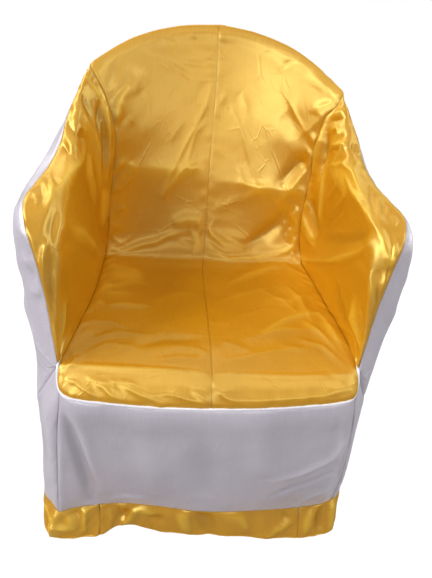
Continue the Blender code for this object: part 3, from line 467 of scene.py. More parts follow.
# Creases of each panel, as the camera sees them on the worn cover: the path's points in pixels of
# its frame, and the width and height in metres.
CREASES: dict[str, tuple[Crease, ...]] = {
    "inside_panel_left": (
        pinch(0.005, -0.0016, (156, 56), (169, 65), (183, 72), (191, 78)),
        pinch(0.004, -0.001, (181, 61), (193, 63), (206, 67)),
        pinch(0.005, 0.0012, (188, 30), (197, 39)),
        pinch(0.006, 0.0012, (140, 42), (150, 51), (158, 56)),
        pinch(0.005, -0.001, (169, 33), (176, 41)),
        pinch(0.006, -0.003, (127, 82), (119, 92), (114, 102)),
        swell(0.008, 0.0032, (132, 86), (122, 97), (117, 110), (116, 128)),
        pinch(0.006, 0.0018, (118, 100), (124, 105), (129, 116), (136, 126)),
        swell(0.009, -0.002, (120, 60), (112, 78), (106, 88)),
        swell(0.007, -0.0012, (138, 88), (141, 96), (134, 100)),
        swell(0.012, 0.0015, (128, 76), (138, 80), (150, 78)),
        pinch(0.005, 0.0026, (218, 76), (206, 105), (192, 132), (180, 155), (170, 176), (162, 194)),
        pinch(0.005, 0.0022, (205, 122), (196, 132), (185, 168), (163, 194)),
        pinch(0.005, 0.0012, (186, 118), (174, 134), (171, 140)),
        pinch(0.005, 0.001, (211, 152), (197, 166), (185, 176)),
        pinch(0.006, -0.001, (202, 86), (196, 100), (188, 108)),
        pinch(0.034, 0.0042, (112, 170), (137, 169), (156, 169), (178, 171), (208, 170)),
        pinch(0.005, 0.0016, (119, 164), (126, 163), (137, 168)),
        pinch(0.005, 0.0018, (184, 168), (198, 168)),
        pinch(0.004, 0.002, (114, 188), (121, 189), (127, 181), (134, 178)),
        pinch(0.004, 0.0016, (115, 211), (126, 207)),
        pinch(0.004, 0.0018, (110, 225), (120, 226)),
        pinch(0.004, 0.002, (110, 233), (114, 240), (121, 243)),
        pinch(0.004, 0.002, (113, 245), (123, 242), (133, 236)),
        pinch(
            0.006,
            0.0042,
            (107, 249),
            (124, 250),
            (143, 245),
            (156, 242),
            (166, 237),
            (176, 233),
            (190, 231),
        ),
        swell(0.01, 0.003, (172, 224), (188, 220), (204, 222)),
        pinch(0.007, 0.0025, (178, 240), (190, 244), (200, 250)),
        pinch(0.004, 0.0024, (192, 232), (196, 242), (192, 256)),
        pinch(0.004, 0.0024, (203, 226), (197, 236), (201, 246), (206, 256)),
        pinch(0.004, 0.0016, (197, 214), (200, 232)),
        pinch(0.008, 0.0038, (104, 262), (120, 268), (140, 272)),
        swell(0.008, 0.0035, (108, 273), (124, 275), (143, 276)),
        pinch(0.006, 0.0032, (98, 290), (105, 286), (113, 285)),
        pinch(0.005, 0.0032, (103, 293), (118, 294), (130, 293)),
        pinch(0.005, 0.0026, (96, 300), (102, 304)),
        pinch(0.006, 0.0042, (105, 306), (120, 305), (136, 305)),
        pinch(0.004, 0.0026, (134, 307), (150, 306)),
        pinch(0.004, 0.0014, (95, 320), (112, 322), (128, 328)),
        pinch(0.004, 0.0013, (110, 351), (122, 349), (95, 356)),
        pinch(0.004, 0.0013, (178, 346), (195, 349), (212, 354)),
        pinch(0.005, 0.0026, (72, 352), (76, 360), (70, 366)),
        pinch(0.004, 0.0019, (88, 326), (84, 334)),
        pinch(0.005, 0.0038, (60, 364), (90, 366), (120, 369), (160, 371), (215, 373)),
        pinch(0.006, 0.0019, (150, 300), (180, 294), (208, 292)),
        pinch(0.005, 0.0019, (92, 338), (120, 332), (150, 334)),
        swell(0.006, -0.0019, (140, 345), (165, 338), (196, 340)),
        pinch(0.006, 0.0019, (84, 352), (110, 344), (135, 346)),
        pinch(0.006, 0.0016, (150, 362), (180, 358), (212, 360)),
        pinch(0.008, 0.0026, (112, 286), (132, 282), (150, 284)),
        pinch(0.004, 0.003, (62, 388), (68, 381), (76, 382), (88, 392), (98, 399)),
        pinch(0.005, 0.003, (90, 380), (104, 388), (112, 396), (120, 400)),
        pinch(0.004, 0.0018, (98, 381), (108, 384), (120, 392)),
        pinch(0.005, 0.0032, (112, 382), (124, 386), (140, 395), (156, 402)),
        pinch(0.004, 0.002, (120, 381), (134, 384), (148, 392), (160, 398)),
        pinch(0.005, 0.0026, (158, 393), (172, 395), (190, 400), (208, 403)),
        pinch(0.005, 0.0028, (192, 388), (202, 396), (210, 402)),
        pinch(0.004, 0.0018, (198, 387), (208, 394)),
    ),
    "inside_panel_right": (
        pinch(0.007, 0.0022, (222, 300), (250, 292), (275, 286)),
        pinch(0.005, 0.0019, (236, 318), (262, 310), (290, 306)),
        pinch(0.007, 0.0029, (250, 338), (285, 330), (312, 330)),
        pinch(0.006, 0.0022, (230, 360), (270, 352), (318, 346)),
        pinch(0.006, 0.0029, (288, 286), (300, 300), (312, 322)),
        pinch(0.005, 0.0029, (300, 340), (322, 346), (342, 362)),
        pinch(0.005, -0.0016, (280, 68), (290, 62), (302, 58)),
        pinch(0.004, 0.0015, (281, 90), (288, 100), (296, 116), (306, 132)),
        pinch(0.004, 0.0014, (233, 112), (243, 135), (250, 162), (256, 184)),
        pinch(0.004, 0.0012, (238, 170), (245, 184)),
        pinch(0.005, 0.0012, (229, 90), (224, 97), (219, 104)),
        pinch(0.005, -0.001, (243, 92), (238, 96), (233, 101)),
        pinch(0.005, 0.001, (243, 98), (249, 111)),
        pinch(0.006, 0.002, (341, 93), (333, 103), (312, 110)),
        pinch(0.007, 0.0025, (318, 110), (322, 118), (310, 128), (302, 134)),
        swell(0.01, 0.0016, (300, 78), (316, 84), (330, 92)),
        swell(0.014, -0.002, (284, 112), (292, 124), (298, 138)),
        pinch(
            0.022,
            0.0026,
            (209, 183),
            (229, 182),
            (239, 184),
            (258, 188),
            (280, 190),
            (303, 190),
        ),
        pinch(0.004, 0.0016, (240, 182), (262, 188), (303, 190)),
        swell(0.009, -0.0045, (310, 159), (297, 163), (287, 175), (280, 187)),
        pinch(0.007, 0.0036, (310, 167), (300, 179), (289, 191), (280, 201)),
        pinch(0.009, 0.002, (270, 182), (256, 190), (243, 201)),
        pinch(0.007, 0.0014, (240, 197), (224, 205), (212, 212)),
        swell(0.016, -0.004, (292, 205), (278, 223), (261, 238), (241, 250)),
        pinch(0.005, 0.0032, (298, 211), (290, 217), (288, 224)),
        pinch(0.005, 0.0028, (290, 229), (300, 232)),
        pinch(0.004, 0.0024, (292, 240), (300, 240)),
        swell(0.006, -0.0024, (284, 236), (290, 224), (286, 216)),
        pinch(
            0.006,
            0.0046,
            (206, 252),
            (218, 256),
            (229, 259),
            (240, 259),
            (255, 257),
            (272, 254),
            (287, 250),
            (300, 245),
        ),
        pinch(0.005, 0.0026, (284, 253), (292, 246), (299, 240)),
        pinch(0.004, 0.0024, (290, 256), (296, 250), (300, 246)),
        pinch(0.008, 0.003, (212, 236), (226, 243), (240, 246)),
        pinch(0.004, 0.0022, (208, 228), (216, 238), (226, 250)),
        pinch(0.004, 0.0022, (214, 222), (209, 230), (212, 240)),
        pinch(0.004, 0.0022, (206, 240), (214, 247), (220, 254)),
        pinch(0.007, 0.0022, (230, 232), (244, 240), (250, 236)),
        pinch(0.008, 0.0042, (228, 284), (248, 276), (270, 268), (284, 264)),
        pinch(0.005, 0.0032, (270, 300), (290, 302), (305, 296), (314, 296)),
        pinch(0.004, 0.0019, (262, 290), (280, 300), (300, 315)),
        pinch(0.005, 0.0048, (266, 330), (285, 321), (305, 315), (318, 314)),
        pinch(0.007, 0.0042, (318, 314), (326, 322), (336, 338), (344, 350)),
        pinch(0.006, 0.0032, (304, 322), (318, 332), (336, 350)),
        pinch(0.004, 0.0014, (280, 345), (300, 350), (320, 352)),
        pinch(0.003, 0.0013, (225, 324), (229, 321)),
        pinch(0.004, 0.0013, (222, 340), (250, 352)),
        pinch(0.005, 0.0035, (214, 373), (250, 374), (300, 376), (346, 374)),
        swell(0.009, -0.0016, (240, 372), (350, 372)),
        pinch(0.005, 0.0022, (216, 388), (224, 397), (236, 400)),
        pinch(0.006, 0.0022, (232, 400), (270, 400), (320, 396), (350, 390)),
        pinch(0.005, 0.002, (330, 390), (345, 388), (354, 384)),
        pinch(0.005, 0.0014, (218, 393), (232, 392)),
    ),
    "inside_arm_left": (
        pinch(0.005, 0.0036, (82, 74), (90, 84), (98, 97), (104, 112), (107, 132)),
        pinch(0.006, -0.0045, (79, 88), (86, 100), (91, 114), (90, 116)),
        pinch(0.006, 0.0046, (76, 108), (85, 121), (92, 140), (98, 158)),
        pinch(0.005, 0.0038, (96, 76), (101, 90), (106, 108), (108, 128), (109, 150), (106, 180)),
        pinch(0.005, -0.0042, (99, 100), (99, 120), (100, 135)),
        pinch(0.004, -0.0036, (104, 120), (104, 145), (104, 165)),
        pinch(0.005, -0.0026, (69, 126), (76, 134), (84, 140)),
        pinch(0.005, 0.002, (72, 118), (80, 127), (86, 133)),
        pinch(0.005, -0.003, (63, 144), (68, 152), (74, 158)),
        pinch(0.006, 0.0026, (66, 136), (72, 146), (78, 152)),
        pinch(0.007, 0.0046, (83, 130), (84, 148), (81, 158), (74, 168), (64, 184), (58, 192)),
        pinch(0.005, -0.003, (58, 190), (52, 178), (50, 168)),
        pinch(0.006, 0.003, (96, 138), (97, 160), (99, 178), (100, 192)),
        swell(0.007, 0.0026, (87, 150), (88, 175), (92, 196), (94, 206)),
        pinch(0.005, 0.0038, (50, 168), (53, 184), (52, 198), (48, 208)),
        pinch(0.004, -0.002, (40, 188), (43, 198), (40, 204)),
        pinch(0.004, 0.002, (34, 194), (38, 202), (36, 206)),
        pinch(0.004, 0.0016, (44, 182), (47, 194)),
        swell(0.008, -0.0032, (56, 208), (52, 226), (50, 245)),
        swell(0.009, 0.0032, (66, 228), (78, 234), (90, 243), (98, 250)),
        swell(0.006, 0.002, (104, 186), (103, 210), (101, 230)),
        pinch(0.005, 0.0038, (48, 240), (44, 256), (42, 268)),
        swell(0.007, -0.0026, (52, 255), (50, 285), (54, 320)),
        pinch(0.004, 0.0034, (64, 298), (62, 320), (60, 340), (58, 352)),
        pinch(0.005, -0.0016, (70, 300), (68, 322), (62, 348)),
        pinch(0.004, 0.0024, (72, 330), (66, 345), (60, 356)),
        pinch(0.003, -0.002, (66, 336), (60, 352), (57, 362)),
    ),
    "inside_arm_right": (
        swell(0.006, -0.002, (340, 95), (332, 110), (328, 122)),
        pinch(0.006, 0.005, (325, 120), (320, 140), (314, 160), (312, 178)),
        pinch(0.004, -0.004, (328, 132), (326, 145), (322, 165), (320, 182)),
        pinch(0.006, 0.0024, (331, 116), (342, 112), (350, 108)),
        pinch(0.005, -0.002, (331, 122), (340, 120), (346, 118)),
        pinch(0.005, 0.0034, (332, 130), (338, 128), (340, 134), (334, 144), (333, 148)),
        pinch(0.004, 0.0036, (333, 146), (345, 145), (341, 154), (336, 162), (333, 168)),
        pinch(0.003, -0.002, (334, 150), (340, 149)),
        pinch(0.005, 0.0042, (333, 167), (345, 163), (353, 173), (359, 188), (364, 198)),
        swell(0.006, -0.0024, (345, 150), (355, 148), (362, 150)),
        pinch(0.005, 0.0016, (350, 162), (360, 164), (366, 168)),
        pinch(0.004, 0.0028, (325, 160), (323, 190), (321, 215), (320, 236)),
        pinch(0.006, -0.0044, (312, 186), (309, 200), (314, 218), (319, 234)),
        swell(0.006, 0.0034, (306, 182), (308, 196), (306, 210)),
        pinch(0.005, 0.0036, (303, 212), (307, 226), (313, 238), (318, 240)),
        pinch(0.005, 0.003, (305, 232), (312, 240), (316, 246)),
        swell(0.014, 0.0026, (330, 172), (342, 178), (348, 196)),
        pinch(0.006, 0.0034, (345, 170), (352, 190), (364, 208), (376, 228), (381, 242)),
        pinch(0.004, 0.0014, (330, 214), (340, 204), (346, 196)),
        pinch(0.004, -0.0012, (328, 222), (338, 214), (344, 206)),
        pinch(0.005, 0.001, (326, 200), (334, 190), (340, 180)),
        swell(0.01, -0.0032, (325, 236), (340, 240), (356, 238), (372, 232)),
        pinch(
            0.006,
            0.0052,
            (303, 258),
            (314, 261),
            (330, 261),
            (346, 257),
            (360, 251),
            (369, 245),
        ),
        swell(0.008, -0.0016, (306, 264), (322, 265), (338, 262)),
        pinch(0.004, 0.0028, (366, 196), (369, 206), (372, 216)),
        pinch(0.004, -0.0024, (371, 186), (370, 200), (373, 214)),
        pinch(0.004, 0.0024, (378, 198), (378, 210), (380, 222)),
        pinch(0.004, -0.0018, (384, 204), (384, 216)),
        pinch(0.004, 0.0022, (392, 216), (395, 222), (394, 226)),
        pinch(0.005, 0.004, (380, 228), (384, 240), (388, 262), (384, 278), (380, 292)),
        pinch(0.004, -0.0032, (392, 248), (388, 262), (386, 280)),
        pinch(0.004, 0.003, (396, 242), (392, 258), (390, 272)),
        pinch(0.003, 0.002, (388, 256), (394, 262), (397, 262)),
        pinch(0.006, 0.0026, (370, 262), (370, 285), (374, 305), (376, 312)),
        pinch(0.004, -0.0024, (377, 285), (378, 300), (374, 318)),
        pinch(0.005, 0.0036, (356, 300), (354, 318), (360, 338), (364, 348)),
        pinch(0.004, -0.0024, (360, 308), (362, 325), (366, 342)),
        pinch(0.005, 0.0028, (346, 340), (352, 350), (358, 362)),
        swell(0.012, -0.0016, (335, 280), (338, 300), (345, 325)),
    ),
    "outside_arm_left": (
        pinch(0.006, 0.002, (19, 226), (24, 234), (28, 232)),
        swell(0.007, 0.003, (22, 255), (30, 260), (36, 268)),
        swell(0.006, -0.0024, (26, 268), (32, 276), (38, 280)),
        swell(0.007, 0.003, (30, 290), (38, 292), (44, 290)),
        pinch(0.004, 0.0034, (28, 300), (33, 325), (40, 348), (52, 364)),
        swell(0.008, 0.002, (32, 300), (38, 330), (48, 356)),
    ),
    "side_skirt_left": (
        swell(0.0012, 0.0009, (56, 370), (48, 380), (38, 394)),
        swell(0.008, 0.002, (50, 400), (52, 440), (50, 490)),
        swell(0.014, -0.004, (41, 425), (45, 470)),
        pinch(0.006, 0.0016, (44, 400), (47, 430), (48, 470)),
    ),
    "front_skirt": (
        swell(0.012, -0.006, (62, 402), (70, 430), (80, 458), (88, 482), (91, 500)),
        swell(0.012, 0.0026, (72, 404), (84, 440), (94, 478)),
        swell(0.007, 0.0022, (56, 400), (58, 440), (60, 480)),
        pinch(0.007, 0.004, (343, 442), (332, 458), (304, 472), (275, 482)),
        pinch(0.007, 0.004, (337, 466), (331, 486), (322, 502)),
        swell(0.006, -0.0034, (332, 472), (312, 482), (290, 489), (272, 497)),
        pinch(0.006, 0.0024, (297, 506), (306, 498), (326, 490)),
        swell(0.005, -0.0022, (344, 450), (340, 470), (336, 495)),
        swell(0.008, 0.002, (348, 412), (342, 440), (338, 460)),
        swell(0.03, -0.0024, (200, 415), (204, 460), (206, 500)),
        swell(0.026, 0.002, (140, 420), (150, 460), (150, 498)),
        swell(0.026, 0.002, (260, 420), (255, 450), (262, 480)),
        swell(0.007, 0.0016, (110, 500), (125, 496), (150, 498)),
    ),
    "hem_band_front": (
        pinch(0.005, 0.0055, (123, 526), (128, 518), (133, 511), (142, 507)),
        swell(0.006, -0.003, (130, 508), (126, 514), (120, 520)),
        pinch(0.005, 0.0026, (142, 508), (150, 512), (160, 517)),
        swell(0.007, -0.003, (150, 514), (165, 521)),
        pinch(0.006, 0.0022, (108, 508), (112, 516), (110, 526)),
        pinch(0.004, -0.0024, (119, 507), (118, 516)),
        swell(0.012, -0.0025, (205, 512), (208, 533)),
        swell(0.008, 0.0022, (180, 510), (184, 522), (190, 532)),
        swell(0.008, 0.002, (240, 512), (246, 524), (248, 534)),
        pinch(0.007, 0.0032, (266, 537), (278, 529), (294, 520)),
        pinch(0.005, -0.0018, (282, 512), (288, 520)),
    ),
    "hem_band_round": (
        pinch(0.004, 0.003, (85, 506), (84, 518), (86, 532)),
        pinch(0.004, 0.005, (58, 512), (56, 518), (54, 524), (52, 535)),
        pinch(0.004, 0.004, (46, 502), (50, 512), (54, 524)),
        pinch(0.004, 0.004, (54, 524), (62, 527), (70, 529)),
        pinch(0.004, -0.004, (47, 512), (47, 524), (49, 532)),
        pinch(0.006, 0.0026, (66, 512), (72, 520), (76, 530)),
        pinch(0.004, -0.0024, (74, 510), (80, 516)),
        pinch(0.006, 0.004, (332, 497), (331, 512), (330, 528)),
        swell(0.006, -0.003, (322, 503), (320, 516), (318, 532)),
        pinch(0.006, 0.003, (310, 508), (307, 520), (305, 534)),
        pinch(0.005, -0.0026, (338, 492), (337, 508), (334, 520)),
    ),
}

# Soft drapes of the white panels that hang free at the sides and behind, by (u, v) on the panel.
DRAPES: dict[str, tuple[Crease, ...]] = {
    "outside_back": (
        swell(0.014, 0.0076, (0.12, 0.22), (0.10, 0.97)),
        swell(0.019, 0.0107, (0.30, 0.40), (0.28, 0.98)),
        swell(0.016, -0.0092, (0.46, 0.50), (0.50, 0.98)),
        swell(0.019, 0.0107, (0.66, 0.35), (0.71, 0.98)),
        swell(0.014, 0.0076, (0.86, 0.25), (0.88, 0.97)),
        swell(0.008, 0.0072, (0.03, 0.04), (0.10, 0.14), (0.22, 0.26)),
        swell(0.008, 0.0072, (0.97, 0.04), (0.91, 0.12), (0.80, 0.22)),
        swell(0.01, 0.0054, (0.25, 0.07), (0.42, 0.10), (0.60, 0.07)),
        pinch(0.006, 0.0045, (0.55, 0.30), (0.72, 0.27)),
        pinch(0.006, 0.0045, (0.20, 0.55), (0.42, 0.57)),
    ),
    "outside_arm": (
        swell(0.012, 0.0061, (0.35, 0.16), (0.95, 0.14)),
        swell(0.011, -0.0061, (0.40, 0.34), (0.95, 0.30)),
        swell(0.009, 0.0061, (0.32, 0.52), (0.62, 0.44), (0.92, 0.42)),
        pinch(0.007, 0.0063, (0.28, 0.60), (0.60, 0.56)),
    ),
    "side_skirt": (
        swell(0.011, 0.0076, (0.13, 0.10), (0.12, 0.98)),
        swell(0.015, 0.0092, (0.36, 0.15), (0.34, 0.98)),
        swell(0.012, -0.0092, (0.55, 0.10), (0.57, 0.98)),
        swell(0.011, 0.0076, (0.74, 0.12), (0.72, 0.98)),
    ),
}


class Smooth:
    """A smooth curve through the rows of a table, as a function of the table's first column."""

    def __init__(self, rows: Sequence[Sequence[float]]) -> None:
        """Reads the table.

        Args:
            rows: The station and the coordinates of each point, in rising order of station.
        """
        table = np.array(rows, dtype=float)
        self.stations: Array = table[:, 0]
        self.places: Array = table[:, 1:]
        self.slopes: Array = np.gradient(self.places, self.stations, axis=0)

    def __call__(self, where: Any) -> Array:
        """Finds the points at some stations.

        Args:
            where: One station, or an array of them.

        Returns:
            The coordinates, with one more axis than the stations.
        """
        where = np.clip(where, self.stations[0], self.stations[-1])
        k = np.searchsorted(self.stations, where, side="right") - 1
        k = np.clip(k, 0, len(self.stations) - 2)
        step = np.expand_dims(self.stations[k + 1] - self.stations[k], -1)
        s = np.expand_dims(where - self.stations[k], -1) / step
        start = (1 + 2 * s) * (1 - s) ** 2 * self.places[k]
        start = start + s * (1 - s) ** 2 * step * self.slopes[k]
        end = s**2 * (3 - 2 * s) * self.places[k + 1]
        end = end + s**2 * (s - 1) * step * self.slopes[k + 1]
        return start + end

    def share(self, where: Any) -> Array:
        """The first coordinate alone, for a table that matches one station to another."""
        return self(where)[..., 0]


def mirrored(curve: Curve, hand: int) -> Curve:
    """The curve on one side of the cover: hand is -1 for the left and 1 for the right."""
    return lambda where: curve(where) * np.array((hand, 1, 1))


def both_sides(curve: Curve) -> Curve:
    """Joins a curve on the right to its mirror image on the left.

    Args:
        curve: The curve, by stations from 0 up.

    Returns:
        The whole curve, with stations below 0 on the left.
    """
    return lambda where: curve(np.abs(where)) * np.stack(
        (np.sign(where), np.ones_like(where, dtype=float), np.ones_like(where, dtype=float)), -1
    )


def stretch(curve: Curve, start: float, end: float) -> Curve:
    """Part of a curve, as a function that runs from 0 to 1."""
    return lambda share: curve(start + (end - start) * share)


def fade(share: Any, reach: float) -> Array:
    """Falls smoothly from 1 at a share of 0 to 0 at the reach."""
    s = np.clip(share / reach, 0, 1)
    return 1 - s * s * (3 - 2 * s)


def unit(vectors: Array) -> Array:
    """The vectors at length 1."""
    return vectors / np.maximum(np.linalg.norm(vectors, axis=-1, keepdims=True), TINY)


def between(top: Curve, bottom: Curve, start: Curve, end: Curve) -> Surface:
    """A sheet spanned by its four edges.

    Args:
        top: The edge at v = 0, along u.
        bottom: The edge at v = 1, along u.
        start: The edge at u = 0, down v.
        end: The edge at u = 1, down v.

    Returns:
        The sheet as a function of u and v.
    """

    def place(u: Array, v: float) -> Array:
        """One row of the sheet.

        Args:
            u: The parameters along it.
            v: The row.

        Returns:
            The points.
        """
        a = np.expand_dims(u, -1)
        rows = (1 - v) * top(u) + v * bottom(u)
        columns = (1 - a) * start(v) + a * end(v)
        first = (1 - a) * top(0.0) + a * top(1.0)
        last = (1 - a) * bottom(0.0) + a * bottom(1.0)
        return rows + columns - (1 - v) * first - v * last

    return place


def bowed(middle: Curve, side: Curve, power: Curve) -> Surface:
    """A sheet from a middle seam to a side seam.

    Args:
        middle: The seam at u = 0.
        side: The seam at u = 1.
        power: How squarely each row leaves the middle, for x, y and z.

    Returns:
        The sheet as a function of u and v.
    """

    def place(u: Array, v: float) -> Array:
        """One row of the sheet."""
        a = np.expand_dims(u, -1)
        return middle(v) + (side(v) - middle(v)) * a ** power(v)

    return place


def soft(distance: Array, half: float) -> Array:
    """Rises from 0 to the distance itself, round a corner at 0 that is rounded over the half."""
    near = (np.clip(distance, -half, half) + half) ** 2 / (4 * half)
    return np.where(distance > half, distance, near)


def draped(
    guides: Sequence[Curve],
    shares: Sequence[float],
    bend: float,
    gather: float = 0.12,
    most: float = 0.45,
) -> Surface:
    """A sheet over guide curves that run down v, turning over each inner guide.

    Args:
        guides: The curves, from u = 0 to u = 1.
        shares: Each guide's u.
        bend: The most that a turn takes on each side of its guide, in metres.
        gather: The share of u on each side of a turn that its columns gather over.
        most: The most that a turn takes of the shorter step beside it.

    Returns:
        The sheet as a function of u and v.
    """

    def place(u: Array, v: float) -> Array:
        """One row of the sheet.

        Args:
            u: The parameters along it.
            v: The row.

        Returns:
            The points.
        """
        corners = np.array([guide(v) for guide in guides])
        steps = np.diff(corners, axis=0)
        lengths = np.linalg.norm(steps, axis=1)
        ends = np.concatenate(([0], np.cumsum(lengths)))
        halves = np.minimum(bend, most * np.minimum(lengths[:-1], lengths[1:]))
        stops, marks = [0.0], [0.0]
        for k, half in enumerate(halves, start=1):
            stops += [shares[k] - gather, shares[k], shares[k] + gather]
            marks += [ends[k] - half, ends[k], ends[k] + half]
        along = np.interp(u, stops + [1.0], marks + [ends[-1]])
        points = corners[0] + along[:, None] * steps[0] / lengths[0]
        for k, half in enumerate(halves, start=1):
            turn = steps[k] / lengths[k] - steps[k - 1] / lengths[k - 1]
            points = points + soft(along - ends[k], half)[:, None] * turn
        return points

    return place


def pinned(
    place: Surface,
    top: Curve | None = None,
    bottom: Curve | None = None,
    start: Curve | None = None,
    end: Curve | None = None,
    reach: float = 0.15,
) -> Surface:
    """The sheet with some of its edges moved onto seams.

    Args:
        place: The sheet.
        top: The seam for the edge at v = 0.
        bottom: The seam for the edge at v = 1.
        start: The seam for the edge at u = 0.
        end: The seam for the edge at u = 1.
        reach: The share of the sheet over which a move fades out.

    Returns:
        The moved sheet.
    """

    def moved(u: Array, v: float) -> Array:
        """One row of the moved sheet.

        Args:
            u: The parameters along it.
            v: The row.

        Returns:
            The points.
        """
        points = place(u, v)
        if top:
            points = points + fade(v, reach) * (top(u) - place(u, 0.0))
        if bottom:
            points = points + fade(1 - v, reach) * (bottom(u) - place(u, 1.0))
        if start:
            points = points + fade(u, reach)[:, None] * (start(v) - place(np.zeros(1), v))
        if end:
            points = points + fade(1 - u, reach)[:, None] * (end(v) - place(np.ones(1), v))
        return points

    return moved


def ripple(across: Array, down: Array, seed: int) -> Array:
    """Smooth waves of no set direction, about one unit long, between -1 and 1.

    Args:
        across: The first coordinate of each point, in wavelengths.
        down: The second coordinate of each point, in wavelengths.
        seed: Which waves.

    Returns:
        The height at each point.
    """
    lattice = np.random.default_rng(seed).uniform(-1, 1, (LATTICE, LATTICE))
    x, y = np.floor(across).astype(int), np.floor(down).astype(int)
    s, t = across - x, down - y
    s, t = s * s * (3 - 2 * s), t * t * (3 - 2 * t)
    left, right, upper, lower = (k % LATTICE for k in (x, x + 1, y, y + 1))
    near = lattice[left, upper] * (1 - s) + lattice[right, upper] * s
    far = lattice[left, lower] * (1 - s) + lattice[right, lower] * s
    return near * (1 - t) + far * t


class Value:
    """A socket of a material, so that shader maths reads as arithmetic."""

    def __init__(self, graph: "Graph", socket: bpy.types.NodeSocket) -> None:
        """Wraps a node's output.

        Args:
            graph: The material that the socket is in.
            socket: The output.
        """
        self.graph = graph
        self.socket = socket

    def _math(self, operation: str, *values: "Value | float") -> "Value":
        """Adds one Math node on these values."""
        return self.graph.node("ShaderNodeMath", {"operation": operation}, dict(enumerate(values)))

    def __add__(self, other: "Value | float") -> "Value":
        """The sum."""
        return self._math("ADD", self, other)

    def __radd__(self, other: float) -> "Value":
        """The sum, with the number first."""
        return self._math("ADD", other, self)

    def __rsub__(self, other: float) -> "Value":
        """The difference, with the number first."""
        return self._math("SUBTRACT", other, self)

    def __mul__(self, other: "Value | float") -> "Value":
        """The product."""
        return self._math("MULTIPLY", self, other)

    def within(self, low: float, high: float) -> "Value":
        """1 where the value is at the high end of a range and 0 at the low end."""
        settings = {"interpolation_type": "SMOOTHSTEP"}
        return self.graph.node("ShaderNodeMapRange", settings, {0: self, 1: low, 2: high})


class Graph:
    """The node tree of one material."""

    def __init__(self, name: str) -> None:
        """Makes an empty material with one Principled shader.

        Args:
            name: The material's name.
        """
        self.material = bpy.data.materials.new(name)
        self.material.use_nodes = True
        self.tree: bpy.types.NodeTree = self.material.node_tree
        self.shader = self.tree.nodes["Principled BSDF"]

    def node(
        self,
        kind: str,
        settings: dict[str, Any] | None = None,
        sockets: dict[int | str, Any] | None = None,
        output: int | str = 0,
    ) -> Value:
        """Adds a node.

        Args:
            kind: The node's type.
            settings: Its properties, set first.
            sockets: A value or a link for each input, by name or number.
            output: Which output to return.

        Returns:
            The output.
        """
        made = self.tree.nodes.new(kind)
        for name, value in (settings or {}).items():
            setattr(made, name, value)
        for key, value in (sockets or {}).items():
            self.feed(made.inputs[key], value)
        return Value(self, made.outputs[output])

    def feed(self, socket: bpy.types.NodeSocket, value: Any) -> None:
        """Links a value to an input, or sets a number, vector or colour on it.

        Args:
            socket: The input.
            value: The Value or the constant.
        """
        if isinstance(value, Value):
            self.tree.links.new(value.socket, socket)
        elif socket.type == "RGBA":
            socket.default_value = (*value, 1)
        else:
            socket.default_value = value

    def mix(self, first: Any, second: Any, factor: Any) -> Value:
        """Mixes two colours.

        Args:
            first: The colour where the factor is 0.
            second: The colour where the factor is 1.
            factor: The share of the second.

        Returns:
            The mixed colour.
        """
        sockets = {0: factor, 6: first, 7: second}
        return self.node("ShaderNodeMix", {"data_type": "RGBA"}, sockets, output=2)

    def noise(self, where: Value, size: float, detail: float = 2.0) -> Value:
        """Cloudy noise, 0 to 1.

        Args:
            where: The coordinates, in metres.
            size: The length of its waves, in metres.
            detail: How many finer layers it has.

        Returns:
            The noise.
        """
        sockets = {"Vector": where, "Scale": 1 / size, "Detail": detail, "Roughness": 0.5}
        return self.node("ShaderNodeTexNoise", {}, sockets)

    def bump(
        self, height: Value, depth: float, strength: float, normal: Value | None = None
    ) -> Value:
        """Bends the normal by a height.

        Args:
            height: The height, 0 to 1.
            depth: What a height of 1 stands for, in metres.
            strength: How much of it shows.
            normal: The normal that it starts from.

        Returns:
            The normal.
        """
        sockets = {"Height": height, "Distance": depth, "Strength": strength}
        if normal is not None:
            sockets["Normal"] = normal
        return self.node("ShaderNodeBump", {}, sockets)


